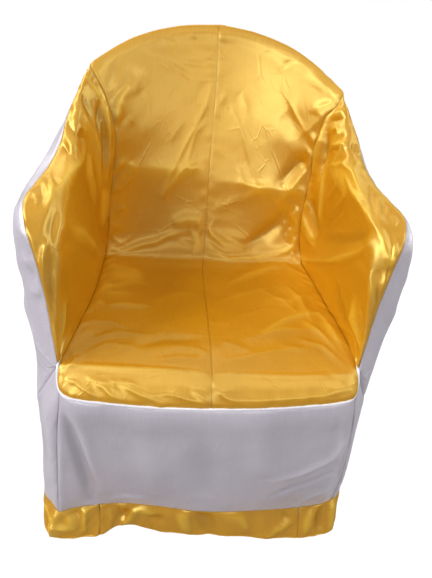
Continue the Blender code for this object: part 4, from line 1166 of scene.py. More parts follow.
@dataclass(frozen=True)
class Satin:
    """Polyester satin: smooth long floats with a soft directional sheen.

    Lengths are in metres. A range runs from where an effect starts to where it is full.
    """

    name: str
    colour: Triple
    shade: Triple
    light: Triple
    roughness: float = 0.38
    sheen: float = 0.2
    sheen_tint: Triple = WHITE
    sheen_roughness: float = 0.3
    anisotropy: float = 0.4
    specular: float = 0.5
    gloss_tint: Triple = WHITE
    index: float = 1.5
    crumple: float = 0.3
    crumple_depth: float = 0.0016
    patch: float = 0.07
    short_creases: tuple[float, float, Pair] = (0.028, 0.07, (0.50, 0.68))
    long_creases: tuple[float, float, Pair] = (0.085, 0.05, (0.52, 0.36))
    # Strength of the painted highlight on fold ridges and of the painted shade in fold valleys
    fold_light_and_shade: float = 0.4
    streaks: float = 0.22
    weft_streaks: float = 0.6
    streak_range: Pair = (0.45, 0.75)
    thread: float = 0.00045
    thread_draw: float = 7
    yarn: float = 0.0018
    yarn_draw: float = 22
    cloud: float = 0.16
    cloud_range: Pair = (0.30, 0.62)
    weave_tone: float = 0.05
    smoother: float = 0.07
    cloud_rough: float = 0.04
    weave_rough: float = 0.04
    warp_rough: float = 0.08
    thread_depth: float = 0.3
    thread_bump: float = 0.25
    yarn_depth: float = 0.05
    yarn_bump: float = 0.2
    # Fold heights over which ridges get a painted highlight and valleys get painted shade
    ridge_highlight_range: Pair = (0.0012, 0.0060)
    valley_shade_range: Pair = (-0.0008, -0.0050)
    # Painted shade along the seams: the distance from a sewn edge over which it runs, and its
    # strength
    seam_shade_range: Pair = (0.0026, 0.0)
    seam_shade: float = 0.6
    # How deep the painted shade is, as a share of the shade colour
    painted_shade: float = 0.6

    def material(self) -> bpy.types.Material:
        """Builds the finish.

        Returns:
            The material.
        """
        graph = Graph(self.name)
        cloth = graph.node("ShaderNodeUVMap", {"uv_map": "cloth"})
        seam = graph.node("ShaderNodeAttribute", {"attribute_name": "seam"}, output="Fac")
        fold = graph.node("ShaderNodeAttribute", {"attribute_name": "fold"}, output="Fac")
        weave = graph.noise(self.drawn(graph, cloth, (1, self.thread_draw, 1)), self.thread, 1.0)
        warp = graph.noise(self.drawn(graph, cloth, (1, self.yarn_draw, 1)), self.yarn)
        weft = graph.noise(self.drawn(graph, cloth, (self.yarn_draw, 1, 1)), self.yarn)
        cloud = graph.noise(cloth, self.cloud)
        tone = graph.mix(self.shade, self.colour, cloud.within(*self.cloud_range))
        glint = warp.within(*self.streak_range) * self.streaks
        glint = glint + weft.within(*self.streak_range) * (self.weft_streaks * self.streaks)
        tone = graph.mix(tone, self.light, glint + weave * self.weave_tone)
        painted_shade = tuple(self.painted_shade * c for c in self.shade)
        # Painted light and shade on the folds: ridges lighter and valleys deeper, by how far the
        # cloth stands off the panel
        tone = graph.mix(tone, self.light, fold.within(*self.ridge_highlight_range) * self.fold_light_and_shade)
        tone = graph.mix(tone, painted_shade, fold.within(*self.valley_shade_range) * self.fold_light_and_shade)
        # Painted shade along the seams, within a few millimetres of each sewn edge
        tone = graph.mix(tone, painted_shade, seam.within(*self.seam_shade_range) * self.seam_shade)
        graph.feed(graph.shader.inputs["Base Color"], tone)
        rough = self.roughness - self.smoother + cloud * self.cloud_rough
        rough = rough + weave * self.weave_rough + warp * self.warp_rough
        graph.feed(graph.shader.inputs["Roughness"], rough)
        normal = graph.bump(weave, self.thread * self.thread_depth, self.thread_bump)
        normal = graph.bump(warp + weft, self.yarn * self.yarn_depth, self.yarn_bump, normal)
        normal = graph.bump(self.creasing(graph, cloth), self.crumple_depth, self.crumple, normal)
        graph.feed(graph.shader.inputs["Normal"], normal)
        for socket, value in (
            ("Sheen Weight", self.sheen),
            ("Sheen Roughness", self.sheen_roughness),
            ("Sheen Tint", self.sheen_tint),
            ("Anisotropic", self.anisotropy),
            ("Specular IOR Level", self.specular),
            ("Specular Tint", self.gloss_tint),
            ("IOR", self.index),
        ):
            graph.feed(graph.shader.inputs[socket], value)
        return graph.material

    def drawn(self, graph: Graph, cloth: Value, stretch: Triple) -> Value:
        """The cloth coordinates, drawn out along the threads by these factors."""
        settings = {"vector_type": "TEXTURE"}
        return graph.node("ShaderNodeMapping", settings, {"Vector": cloth, "Scale": stretch})

    def creasing(self, graph: Graph, cloth: Value) -> Value:
        """Faint sharp creases from folding and handling.

        Args:
            graph: The material.
            cloth: The cloth coordinates.

        Returns:
            The height, 0 to 1.
        """
        settings = {"feature": "DISTANCE_TO_EDGE"}
        patches = graph.noise(cloth, self.patch, 1.0)
        creases = []
        for size, line, here in (self.short_creases, self.long_creases):
            sockets = {"Vector": cloth, "Scale": 1 / size}
            edge = graph.node("ShaderNodeTexVoronoi", settings, sockets)
            creases.append(edge.within(0.0, line) * patches.within(*here))
        short, long = creases
        return 1 - (short * 0.5 + long * 0.5)


@dataclass(frozen=True)
class Paper:
    """Seamless studio floor."""

    name: str
    colour: Triple
    glow: float
    share: float
    cloud: float = 0.35
    dim: float = 0.97
    roughness: float = 0.9
    specular: float = 0.1

    def material(self) -> bpy.types.Material:
        """Builds the finish.

        Returns:
            The material.
        """
        graph = Graph(self.name)
        where = graph.node("ShaderNodeTexCoord", output="Object")
        grain = graph.noise(where, self.cloud)
        dim = tuple(self.dim * c for c in self.colour)
        graph.feed(graph.shader.inputs["Base Color"], graph.mix(dim, self.colour, grain))
        graph.feed(graph.shader.inputs["Roughness"], self.roughness)
        graph.feed(graph.shader.inputs["Specular IOR Level"], self.specular)
        glow = graph.node("ShaderNodeEmission", {}, {"Color": WHITE, "Strength": self.glow})
        seen = graph.node("ShaderNodeLightPath", output="Is Camera Ray")
        plain = Value(graph, graph.shader.outputs[0])
        mixed = graph.node("ShaderNodeMixShader", {}, {0: seen * self.share, 1: plain, 2: glow})
        graph.feed(graph.tree.nodes["Material Output"].inputs["Surface"], mixed)
        return graph.material


@dataclass(frozen=True)
class Eye:
    """The camera: its place, its turns in degrees, and its focal length and frame in pixels."""

    place: Triple = (-0.058, -0.724, 0.956)
    yaw: float = 6.20
    pitch: float = 37.89
    roll: float = 5.77
    focal: float = 438.0
    width: int = 432
    height: int = 578

    def axes(self) -> Array:
        """Works out which way it looks.

        Returns:
            Its right, up and ahead directions, as rows.
        """
        yaw, pitch, roll = (math.radians(a) for a in (self.yaw, self.pitch, self.roll))
        level = math.cos(pitch)
        ahead = np.array((math.sin(yaw) * level, math.cos(yaw) * level, -math.sin(pitch)))
        right = unit(np.cross(ahead, (0.0, 0.0, 1.0)))
        up = np.cross(right, ahead)
        x = math.cos(roll) * right + math.sin(roll) * up
        y = -math.sin(roll) * right + math.cos(roll) * up
        return np.array((x, y, ahead))

    def sees(self, points: Array) -> tuple[Array, Array, Array]:
        """Finds where points lie in the frame.

        Args:
            points: The points.

        Returns:
            Their pixels from the left, their pixels from the top, and their depths.
        """
        right, up, ahead = np.moveaxis((points - self.place) @ self.axes().T, -1, 0)
        across = self.width / 2 + self.focal * right / ahead
        return across, self.height / 2 - self.focal * up / ahead, ahead


EYE = Eye()


class Sight:
    """A panel as the camera sees it, for finding the place on it of a point in the frame."""

    cells = 240
    most_slant = 3.2

    # In metres: what a pixel stands for where the cloth faces the camera, and a depth past it all
    pixel = 0.0016
    beyond = 9.0

    # In pixels: how far to each side of a crease the slant is probed, the shortest run that is
    # probed, how far off a found place may be, and how far apart two places count as one
    probe = 4.0
    least_run = 2.0
    reach = 2.5
    tie = 0.7

    # Metres of depth that a pixel's distance weighs as much as
    pull = 0.01

    def __init__(self, place: Surface, across: Pair, down: Pair) -> None:
        """Lays a grid on the panel.

        Args:
            place: The panel's surface.
            across: The first and last parameter across.
            down: The first and last parameter down.
        """
        u = np.linspace(*across, self.cells + 1)
        self.points = np.array([place(u, v) for v in np.linspace(*down, self.cells + 1)])
        self.across, self.down, self.depth = EYE.sees(self.points)

    def find(self, across: float, down: float) -> tuple[Array, float]:
        """Finds the panel's nearest place to a point in the frame.

        Args:
            across: The point's pixels from the left.
            down: Its pixels from the top.

        Returns:
            The place, and how many pixels from the point it is seen.
        """
        away = np.hypot(self.across - across, self.down - down)
        least = away.min()
        depth = np.where(away < least + self.tie, self.depth, self.beyond) + self.pull * away
        row, column = np.unravel_index(np.argmin(depth), away.shape)
        return self.points[row, column], least

    def slant(self, path: Sequence[Pair]) -> float:
        """Finds how much wider a crease is than it looks, as its panel is seen at a slant.

        Args:
            path: The crease's points in the frame.

        Returns:
            The factor.
        """
        factors = []
        for (x0, y0), (x1, y1) in zip(path[:-1], path[1:]):
            run = math.hypot(x1 - x0, y1 - y0)
            if run < self.least_run:
                continue
            aside = (y0 - y1) / run * self.probe, (x1 - x0) / run * self.probe
            middle = (x0 + x1) / 2, (y0 + y1) / 2
            found = [
                self.find(middle[0] + aside[0], middle[1] + aside[1]),
                self.find(middle[0] - aside[0], middle[1] - aside[1]),
                self.find(x0, y0),
                self.find(x1, y1),
            ]
            if max(off for _, off in found) > self.reach:
                continue
            one, other, start, end = (point for point, _ in found)
            along = (end - start) / max(np.linalg.norm(end - start), TINY)
            gap = one - other
            gap = gap - along * (gap @ along)
            factors.append(np.linalg.norm(gap) / (2 * self.probe * self.pixel))
        return float(np.clip(np.median(factors), 1, self.most_slant)) if factors else 1.0


@dataclass(frozen=True)
class Relief:
    """How the creases seen on a panel become real ones, by the slant at which each is seen.

    A height grows by the gain and by the slant to a power, and a width by its own gain and slant,
    each as far as its limits. Creases that look broad keep their width.
    """

    gain: float = 1.3
    power: float = 0.5
    slant: float = 1.8
    width_gain: float = 1.0
    width_slant: float = 3.2
    widest: float = 0.030
    highest: float = 0.020
    broad: float = 0.015

    def real(self, crease: Crease, slant: float) -> Crease:
        """Gives a crease its real width and height.

        Args:
            crease: The crease as seen.
            slant: How much wider it is than it looks.

        Returns:
            The crease.
        """
        width = crease.width
        if width < self.broad:
            width = min(width * self.width_gain * min(slant, self.width_slant), self.widest)
        height = crease.height * self.gain * min(slant, self.slant) ** self.power
        height = math.copysign(min(abs(height), self.highest), height)
        return crease._replace(width=width, height=height)


ARM_RELIEF = Relief(gain=1.9, power=0.75, slant=3.2, widest=0.016, highest=0.013)
SKIRT_RELIEF = Relief(gain=2.0, power=0.0, width_slant=1.0)
HEM_RELIEF = Relief(gain=2.9, power=0.0, width_gain=1.1, width_slant=1.4)


def placed(name: str, data: bpy.types.ID) -> bpy.types.Object:
    """Puts an object into the scene.

    Args:
        name: Its name.
        data: Its mesh, light or camera.

    Returns:
        The object.
    """
    made = bpy.data.objects.new(name, data)
    bpy.context.scene.collection.objects.link(made)
    return made


def cloth_mesh(
    name: str,
    points: Array,
    faces: list[list[int]],
    cloth: Array,
    finish: bpy.types.Material,
) -> bpy.types.Mesh:
    """Makes a smooth mesh with cloth coordinates.

    Args:
        name: Its name.
        points: Its points.
        faces: The points of each face, by number.
        cloth: Each point's cloth coordinates, in metres.
        finish: Its material.

    Returns:
        The mesh.
    """
    mesh = bpy.data.meshes.new(name)
    mesh.from_pydata(points.tolist(), [], faces)
    corners = np.empty(len(mesh.loops), dtype=np.int32)
    mesh.loops.foreach_get("vertex_index", corners)
    mesh.uv_layers.new(name="cloth").uv.foreach_set("vector", cloth[corners].ravel())
    mesh.polygons.foreach_set("use_smooth", np.ones(len(faces), dtype=bool))
    mesh.materials.append(finish)
    return mesh


def add_values(mesh: bpy.types.Mesh, name: str, values: Array) -> None:
    """Gives each point of a mesh a number that its finish reads.

    Args:
        mesh: The mesh.
        name: The name that the finish reads it by.
        values: The numbers.
    """
    layer = mesh.attributes.new(name, "FLOAT", "POINT")
    layer.data.foreach_set("value", values)


@dataclass(frozen=True)
class Sewn:
    """How tightly each edge is sewn, 0 if it is free: top and bottom (v), start and end (u)."""

    top: float = 1.0
    bottom: float = 1.0
    start: float = 1.0
    end: float = 1.0


@dataclass
class Panel:
    """One cut piece of cloth: its surface, seams, folds and creases."""

    name: str
    place: Surface
    across: Pair
    down: Pair
    cell: float
    facing: int
    sewn: Sewn = Sewn()
    creases: Sequence[Crease] = ()
    relief: Relief = Relief()
    drapes: Sequence[Crease] = ()
    thickness: float = 0.001
    seed: int = 1

    # Puckers along the sewn edges: height, spacing, how far they run, and how that sways
    pucker: float = 0.0008
    pucker_pitch: float = 0.016
    pucker_run: float = 0.06
    pucker_reach: float = 0.010
    pucker_sway: float = 0.007
    pucker_sway_pitch: float = 0.05

    # The roll of cloth beside a sewn edge, and how far from it the folds and waves start
    puff: float = 0.0012
    pull_reach: float = 0.004
    roll_start: float = 0.0028
    roll_reach: float = 0.02
    flat_reach: float = 0.009

    # Loose waves, and the finer ones on them as shares of their height and wavelength
    wave: float = 0.0008
    wave_length: float = 0.06
    wave_stretch: float = 1.0
    fine_wave: float = 0.35
    fine_across: float = 2.7
    fine_down: float = 2.1

    # Texture space, whose middle the weft runs round, so that the sheen follows the threads
    weft_centre: Pair = (0.0, 0.0)
    weft_height: float = 0.4
    weft_span: float = 4.0

    # Grid lines: how many measure the sheet, the close ones by each edge, and the first cell after
    measuring_lines: int = 25
    seam_lines: tuple[float, ...] = (0.0, 0.0011, 0.0024, 0.0042)
    first_cell: float = 0.8
    fewest_cells: int = 4

    def stations(self, ends: Pair, length: float) -> Array:
        """Grid lines along one direction, closer together by both edges.

        Args:
            ends: The first and last parameter.
            length: The direction's length in metres.

        Returns:
            The parameters.
        """
        near = np.array(self.seam_lines) / length
        count = max(self.fewest_cells, round(length / self.cell))
        first = self.first_cell * self.cell / length
        inner = np.linspace(near[-1] + first, 1 - near[-1] - first, count)
        share = np.concatenate((near, inner, 1 - near[::-1]))
        return ends[0] + (ends[1] - ends[0]) * share

    def grid(self) -> tuple[Array, Array, Array]:
        """Lays the grid on the surface.

        Returns:
            The points, and each point's cloth coordinates across and down in metres.
        """
        rough_u = np.linspace(*self.across, self.measuring_lines)
        rough_v = np.linspace(*self.down, self.measuring_lines)
        rough = np.array([self.place(rough_u, v) for v in rough_v])
        width = np.linalg.norm(np.diff(rough, axis=1), axis=-1).sum(axis=1).max()
        height = np.linalg.norm(np.diff(rough, axis=0), axis=-1).sum(axis=0).max()
        u, v = self.stations(self.across, width), self.stations(self.down, height)
        points = np.array([self.place(u, row) for row in v])
        steps_u = np.linalg.norm(np.diff(points, axis=1), axis=-1)
        steps_v = np.linalg.norm(np.diff(points, axis=0), axis=-1)
        s = np.concatenate((np.zeros((len(v), 1)), np.cumsum(steps_u, axis=1)), axis=1)
        t = np.concatenate((np.zeros((1, len(u))), np.cumsum(steps_v, axis=0)), axis=0)
        return points, s, t

    def edges(self, s: Array, t: Array) -> tuple[tuple[float, Array, Array], ...]:
        """Each edge: how tightly it is sewn, the distance from it, and the place along it.

        Args:
            s: Cloth coordinate across.
            t: Cloth coordinate down.

        Returns:
            The start, end, top and bottom edge.
        """
        return (
            (self.sewn.start, s, t),
            (self.sewn.end, s[:, -1:] - s, t),
            (self.sewn.top, t, s),
            (self.sewn.bottom, t[-1:] - t, s),
        )

    def seam_distances(self, s: Array, t: Array) -> tuple[Array, Array]:
        """Distance along the cloth from the nearest sewn edge, and how tight that edge is.

        Args:
            s: Cloth coordinate across.
            t: Cloth coordinate down.

        Returns:
            The distance in metres, a metre where no edge is sewn, and the tightness.
        """
        distance, pull, weight = np.ones_like(s), np.zeros_like(s), np.full_like(s, TINY)
        for tight, away, _ in self.edges(s, t):
            if tight:
                distance = np.minimum(distance, away)
                nearness = np.exp(-away / self.pull_reach)
                pull += tight * nearness
                weight += nearness
        return distance, pull / weight

    def paths(self) -> list[tuple[Crease, list[Array]]]:
        """Lays the creases and drapes on the panel.

        Returns:
            Each one at its real width and height, with its path's points.
        """
        sight = Sight(self.place, self.across, self.down)
        laid = []
        for crease in self.creases:
            real = self.relief.real(crease, sight.slant(crease.path))
            laid.append((real, [sight.find(*at)[0] for at in crease.path]))
        for drape in self.drapes:
            laid.append((drape, [self.place(np.array([u]), v)[0] for u, v in drape.path]))
        return laid

    def crease_heights(self, points: Array) -> Array:
        """How far the creases stand off the panel.

        Args:
            points: The grid.

        Returns:
            The height at each point.
        """
        heights = np.zeros(points.shape[:2])
        for crease, path in self.paths():
            lengths = np.array([np.linalg.norm(b - a) for a, b in zip(path[:-1], path[1:])])
            ends = np.concatenate(([0], np.cumsum(lengths))) / max(lengths.sum(), TINY)
            nearest = np.full(points.shape[:2], np.inf)
            along = np.zeros(points.shape[:2])
            for k, (start, end) in enumerate(zip(path[:-1], path[1:])):
                run = end - start
                share = np.clip((points - start) @ run / max(run @ run, TINY), 0, 1)
                away = np.linalg.norm(points - start - share[..., None] * run, axis=-1)
                closer = away < nearest
                nearest = np.where(closer, away, nearest)
                along = np.where(closer, ends[k] + (ends[k + 1] - ends[k]) * share, along)
            heights += crease.profile(nearest, along)
        return heights

    def pucker_heights(self, s: Array, t: Array) -> Array:
        """Small folds that leave each sewn edge square to it.

        Args:
            s: Cloth coordinate across.
            t: Cloth coordinate down.

        Returns:
            The height at each point.
        """
        heights = np.zeros_like(s)
        for k, (tight, away, along) in enumerate(self.edges(s, t)):
            if tight:
                waves, sways = self.seed * PUCKER_WAVES + k, self.seed * SWAY_WAVES + k
                fine = ripple(along / self.pucker_pitch, away / self.pucker_run, waves)
                sway = ripple(along / self.pucker_sway_pitch, away * 0, sways)
                reach = self.pucker_reach + self.pucker_sway * sway
                heights += tight * self.pucker * fine * (away / reach) * np.exp(1 - away / reach)
        return heights

    def shaped(self) -> tuple[Array, Array, Array, Array, Array]:
        """Folds the cloth.

        Returns:
            The points, the cloth coordinates across and down, the distance from a sewn edge, and
            how far each point stands off the panel.
        """
        points, s, t = self.grid()
        rows, columns = np.gradient(points, axis=0), np.gradient(points, axis=1)
        normals = unit(np.cross(rows, columns)) * self.facing
        distance, tightness = self.seam_distances(s, t)
        lift = 1 - np.exp(-((distance / self.flat_reach) ** 2))
        heights = self.crease_heights(points) * lift
        roll = 1 - np.exp(-((distance / self.roll_start) ** 2))
        roll *= np.exp(-((distance / self.roll_reach) ** 2))
        heights += self.puff * tightness * roll
        heights += self.pucker_heights(s, t)
        x, y = s / self.wave_length, t / (self.wave_length * self.wave_stretch)
        heights += self.wave * lift * ripple(x, y, self.seed)
        fine = ripple(x * self.fine_across, y * self.fine_down, self.seed + FINE_WAVES)
        heights += self.fine_wave * self.wave * lift * fine
        points = points + normals * heights[..., None]
        points[..., 2] = np.maximum(points[..., 2], FLOOR_GAP)
        return points, s, t, distance, heights

    def build(self, finish: bpy.types.Material) -> bpy.types.Object:
        """Makes the panel's mesh.

        Args:
            finish: Its material.

        Returns:
            The panel.
        """
        points, s, t, distance, heights = self.shaped()
        rows, columns = points.shape[:2]
        index = np.arange(rows * columns).reshape(rows, columns)
        corners = (index[:-1, :-1], index[1:, :-1], index[1:, 1:], index[:-1, 1:])
        faces = np.stack(corners[:: self.facing], -1).reshape(-1, 4).tolist()
        mesh = cloth_mesh(
            self.name, points.reshape(-1, 3), faces, np.stack((s, t), -1).reshape(-1, 2), finish
        )
        # The finish reads these for painted shade along the seams and painted light and shade on
        # the folds
        add_values(mesh, "seam", distance.ravel())
        add_values(mesh, "fold", heights.ravel())
        mesh.use_auto_texspace = False
        mesh.texspace_location = (*self.weft_centre, self.weft_height)
        mesh.texspace_size = (self.weft_span,) * 3
        panel = placed(self.name, mesh)
        solidify = panel.modifiers.new("cloth", "SOLIDIFY")
        solidify.thickness = self.thickness
        solidify.offset = -1
        LOG.info("%s: %d x %d cells", self.name, columns - 1, rows - 1)
        return panel


@dataclass(frozen=True)
class Cut:
    """A piece's node, slot and flat cut, with its area, how it is held and what it rests on."""

    node: str
    slot: str
    flat: Pair
    area: float
    held: str = "stretched"
    rests_on: tuple[str, ...] = ()


def register(piece: bpy.types.Object, cut: Cut) -> None:
    """Attaches a cloth piece to the root and hides the part that it stands for.

    Args:
        piece: The piece.
        cut: What it stands for and was cut from.
    """
    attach(piece, ROOT)
    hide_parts(cut.node)
    list(cut.rests_on)


@dataclass
class HemLines:
    """The hem band's two long edges, by bearing."""

    rows: tuple[Hem, ...] = HEM_FRONT
    sway: float = 0.0050
    sway_pitch: float = 8.5
    sway_half: float = 100
    sway_fade: float = 15
    edge_sway: float = 1.25
    seed: int = 9

    def line(self, first: int, sway: float) -> Curve:
        """One long edge as a closed curve by bearing, swaying in and out round the sides and back.

        Args:
            first: Which column of the table the edge's coordinates start at.
            sway: How far it sways, in metres.

        Returns:
            The edge.
        """
        rear = [
            row._replace(bearing=-row.bearing, seam_x=-row.seam_x, edge_x=-row.edge_x)
            for row in HEM_REAR
        ]
        ring = [HEM_BACK._replace(bearing=-180), *rear[::-1], *self.rows, *HEM_REAR, HEM_BACK]
        curve = Smooth([(row.bearing, *row[first : first + 3]) for row in ring])

        def edge(bearing: Any) -> Array:
            """Finds the edge's place.

            Args:
                bearing: One bearing in degrees, or an array of them.

            Returns:
                The points.
            """
            turn = np.asarray(bearing, dtype=float) % 360
            outward = np.stack((np.sin(np.radians(turn)), -np.cos(np.radians(turn)), 0 * turn), -1)
            shown = np.clip((self.sway_half - np.abs(turn - 180)) / self.sway_fade, 0, 1)
            out = sway * shown * ripple(turn / self.sway_pitch, turn * 0, self.seed)
            return curve((turn + 180) % 360 - 180) + np.expand_dims(out, -1) * outward

        return edge

    @property
    def seam(self) -> Curve:
        """The seam to the skirt."""
        return self.line(1, self.sway)

    @property
    def edge(self) -> Curve:
        """The free edge by the floor."""
        return self.line(4, self.edge_sway * self.sway)


@dataclass
class SideSeams:
    """The seams of one side of the cover, shared by the panels that meet in them."""

    side: Side
    hem_seam: Curve

    def __post_init__(self) -> None:
        """Draws every seam from its table."""
        word, hand = self.side.word, self.side.value
        top = Smooth(TOP_SEAM)
        self.hand = hand
        self.shoulder = INNER_SEAM_STARTS[word]
        flip = np.array((hand, 1, 1))
        crest = (0.0, *top(self.shoulder))
        rear_top = (0.0, *top(REAR_SEAM_STARTS))
        rear_foot = (1.0, *(self.hem_seam(hand * REAR_SEAM) * flip))
        front_foot = (1.0, *(self.hem_seam(hand * FRONT_SEAM) * flip))
        self.top = mirrored(top, hand)
        self.lip = mirrored(Smooth(ARM_LIP), hand)
        self.edge = mirrored(Smooth(ARM_EDGE[word]), hand)
        self.flank = mirrored(Smooth(ARM_SIDE), hand)
        self.waist = mirrored(Smooth(WAIST[word]), hand)
        self.inner = mirrored(Smooth([crest, *INNER_SEAM[word], *SEAT_SIDE[word]]), hand)
        self.rear = mirrored(Smooth([rear_top, *REAR_CORNER, rear_foot]), hand)
        self.front = mirrored(Smooth([*FRONT_CORNER, front_foot]), hand)

    def top_station(self, inner: Any) -> Array:
        """The top seam's station across from a station of the inner seam."""
        return self.shoulder + (1 - self.shoulder) * Smooth(INNER_TO_TOP).share(inner)


@dataclass
class GoldLining:
    """The gold cloth of one side: the back and seat in one length, and the arm."""

    seams: SideSeams
    cell: float = 0.0036
    lip_bend: float = 0.024
    arm_rows: Pair = (0.004, SEAT_CORNER - 0.0005)
    arm_guides_at: tuple[float, ...] = (0, 0.6, 1)
    panel_flat: Pair = (0.31, 1.00)
    panel_area: float = 0.211
    arm_flat: Pair = (0.27, 0.66)
    arm_area: float = 0.112

    def panel(self) -> Panel:
        """The length that runs over the crest, down the back and along the seat.

        Returns:
            The panel.
        """
        seams, word = self.seams, self.seams.side.word
        place = pinned(
            bowed(Smooth(CENTRE_SEAM), seams.inner, Smooth(PANEL_POWER)),
            top=stretch(seams.top, 0, seams.shoulder),
            bottom=mirrored(stretch(Smooth(SEAT_EDGE), 0, 1), seams.hand),
        )
        return Panel(
            name=f"gold_back_and_seat_{word}",
            place=place,
            across=(0, 1),
            down=(0, 1),
            cell=self.cell,
            facing=seams.hand,
            sewn=Sewn(top=0.5, bottom=0.8, start=0.4),
            weft_centre=(0.0, -3.0),
            creases=CREASES[f"inside_panel_{word}"],
            pucker=0.0016,
            wave=0.0006,
            seed=11 + seams.hand,
        )

    def arm(self) -> Panel:
        """The gore up the arm's wall, over the armrest and down its front post.

        Returns:
            The panel.
        """
        seams, word = self.seams, self.seams.side.word
        place = draped(
            (
                seams.inner,
                lambda inner: seams.lip(seams.top_station(inner)),
                lambda inner: seams.top(seams.top_station(inner)),
            ),
            self.arm_guides_at,
            self.lip_bend,
        )
        return Panel(
            name=f"gold_arm_{word}_lining",
            place=place,
            across=(0, 1),
            down=self.arm_rows,
            cell=self.cell,
            facing=seams.hand,
            sewn=Sewn(top=0, bottom=0),
            weft_centre=(-2.0 * seams.hand, 0.0),
            creases=CREASES[f"inside_arm_{word}"],
            relief=ARM_RELIEF,
            pucker=0.0018,
            wave=0.0015,
            wave_length=0.036,
            wave_stretch=3.0,
            seed=21 + seams.hand,
        )

    def build(self, finish: bpy.types.Material) -> None:
        """Makes and registers both pieces.

        Args:
            finish: The gold satin.
        """
        word = self.seams.side.word
        panel = Cut(f"inside_panel_{word}", "gold_satin", self.panel_flat, self.panel_area)
        arm = Cut(f"inside_arm_{word}", "gold_satin", self.arm_flat, self.arm_area)
        register(self.panel().build(finish), panel)
        register(self.arm().build(finish), arm)


@dataclass
class WhiteSide:
    """The white cloth of one side: the outside of the arm and the skirt under it."""

    seams: SideSeams
    cell: float = 0.0055
    edge_bend: float = 0.010
    arm_rows: Pair = (0, 0.999)
    arm_guides_at: tuple[float, ...] = (0, 0.25, 0.6, 1)
    arm_flat: Pair = (0.38, 0.62)
    arm_area: float = 0.164
    skirt_flat: Pair = (0.56, 0.34)
    skirt_area: float = 0.164

    def arm(self) -> Panel:
        """The outside of the arm, over its outer edge and down to the waist seam.

        Returns:
            The panel.
        """
        seams, word = self.seams, self.seams.side.word
        to_waist = Smooth(TOP_TO_WAIST).share
        guides = (seams.top, seams.edge, seams.flank, lambda top: seams.waist(to_waist(top)))
        place = draped(
            [stretch(guide, REAR_SEAM_STARTS, 1) for guide in guides],
            self.arm_guides_at,
            self.edge_bend,
        )
        place = pinned(place, top=stretch(seams.rear, 0, WAIST_ON_REAR_SEAM), reach=0.2)
        return Panel(
            name=f"white_arm_{word}_outside",
            place=place,
            across=(0, 1),
            down=self.arm_rows,
            cell=self.cell,
            facing=seams.hand,
            sewn=Sewn(bottom=0),
            creases=CREASES.get(f"outside_arm_{word}", ()),
            drapes=DRAPES["outside_arm"],
            wave=0.0018,
            wave_length=0.085,
            weft_centre=(-2.0 * seams.hand, 0.0),
            seed=31 + seams.hand,
        )

    def skirt(self) -> Panel:
        """The side of the skirt, from the waist seam to the hem band.

        Returns:
            The panel.
        """
        seams, word = self.seams, self.seams.side.word
        to_hem = Smooth(WAIST_TO_HEM).share
        place = pinned(
            lambda u, v: (1 - v) * seams.waist(u) + v * seams.hem_seam(seams.hand * to_hem(u)),
            start=stretch(seams.rear, WAIST_ON_REAR_SEAM, 1),
            end=seams.front,
        )
        return Panel(
            name=f"white_skirt_{word}",
            place=place,
            across=(0, 1),
            down=(0, 1),
            cell=self.cell,
            facing=-seams.hand,
            creases=CREASES.get(f"side_skirt_{word}", ()),
            drapes=DRAPES["side_skirt"],
            weft_centre=(-2.0 * seams.hand, 0.0),
            wave=0.0014,
            wave_length=0.11,
            seed=41 + seams.hand,
        )

    def build(self, finish: bpy.types.Material) -> None:
        """Makes and registers both pieces.

        Args:
            finish: The white satin.
        """
        word = self.seams.side.word
        panel, node, above = self.arm(), f"outside_arm_{word}", (f"gold_arm_{word}_lining",)
        cut = Cut(node, "white_satin", self.arm_flat, self.arm_area, "hung", above)
        register(panel.build(finish), cut)
        panel, node, above = self.skirt(), f"side_skirt_{word}", (panel.name,)
        cut = Cut(node, "white_satin", self.skirt_flat, self.skirt_area, "hung", above)
        register(panel.build(finish), cut)


@dataclass
class FrontSkirt:
    """The white panel from the piping to the hem band."""

    left: SideSeams
    right: SideSeams
    cell: float = 0.0048
    flat: Pair = (0.56, 0.345)
    area: float = 0.171

    def panel(self) -> Panel:
        """The panel between the two front corner seams.

        Returns:
            The panel.
        """
        place = between(
            stretch(both_sides(Smooth(SEAT_EDGE)), -1, 1),
            stretch(self.left.hem_seam, -FRONT_SEAM, FRONT_SEAM),
            stretch(self.left.front, SKIRT_ON_CORNER, 1),
            stretch(self.right.front, SKIRT_ON_CORNER, 1),
        )
        return Panel(
            name="white_skirt_front",
            place=place,
            across=(0, 1),
            down=(0, 1),
            cell=self.cell,
            facing=1,
            creases=CREASES["front_skirt"],
            relief=SKIRT_RELIEF,
            weft_centre=(0.0, 3.0),
            wave=0.0014,
            wave_length=0.12,
            seed=51,
        )

    def build(self, finish: bpy.types.Material) -> None:
        """Makes and registers the piece.

        Args:
            finish: The white satin.
        """
        above = ("white_piping_seat",)
        cut = Cut("front_skirt", "white_satin", self.flat, self.area, "hung", above)
        register(self.panel().build(finish), cut)


@dataclass
class OutsideBack:
    """The white panel behind the chair, from the crest's seam to the hem band."""

    left: SideSeams
    right: SideSeams
    cell: float = 0.009
    flat: Pair = (0.64, 0.76)
    area: float = 0.4135

    def panel(self) -> Panel:
        """The panel between the two rear corner seams.

        Returns:
            The panel.
        """
        crest = stretch(both_sides(Smooth(TOP_SEAM)), REAR_SEAM_STARTS, -REAR_SEAM_STARTS)
        foot = stretch(self.left.hem_seam, REAR_SEAM, 360 - REAR_SEAM)
        place = pinned(
            lambda u, v: (1 - v) * crest(u) + v * foot(u),
            start=self.right.rear,
            end=self.left.rear,
        )
        return Panel(
            name="white_back_outside",
            place=place,
            across=(0, 1),
            down=(0, 1),
            cell=self.cell,
            facing=1,
            drapes=DRAPES["outside_back"],
            wave=0.0030,
            wave_length=0.15,
            seed=61,
        )

    def build(self, finish: bpy.types.Material) -> None:
        """Makes and registers the piece.

        Args:
            finish: The white satin.
        """
        above = ("gold_back_and_seat_left", "gold_back_and_seat_right")
        cut = Cut("outside_back", "white_satin", self.flat, self.area, "hung", above)
        register(self.panel().build(finish), cut)


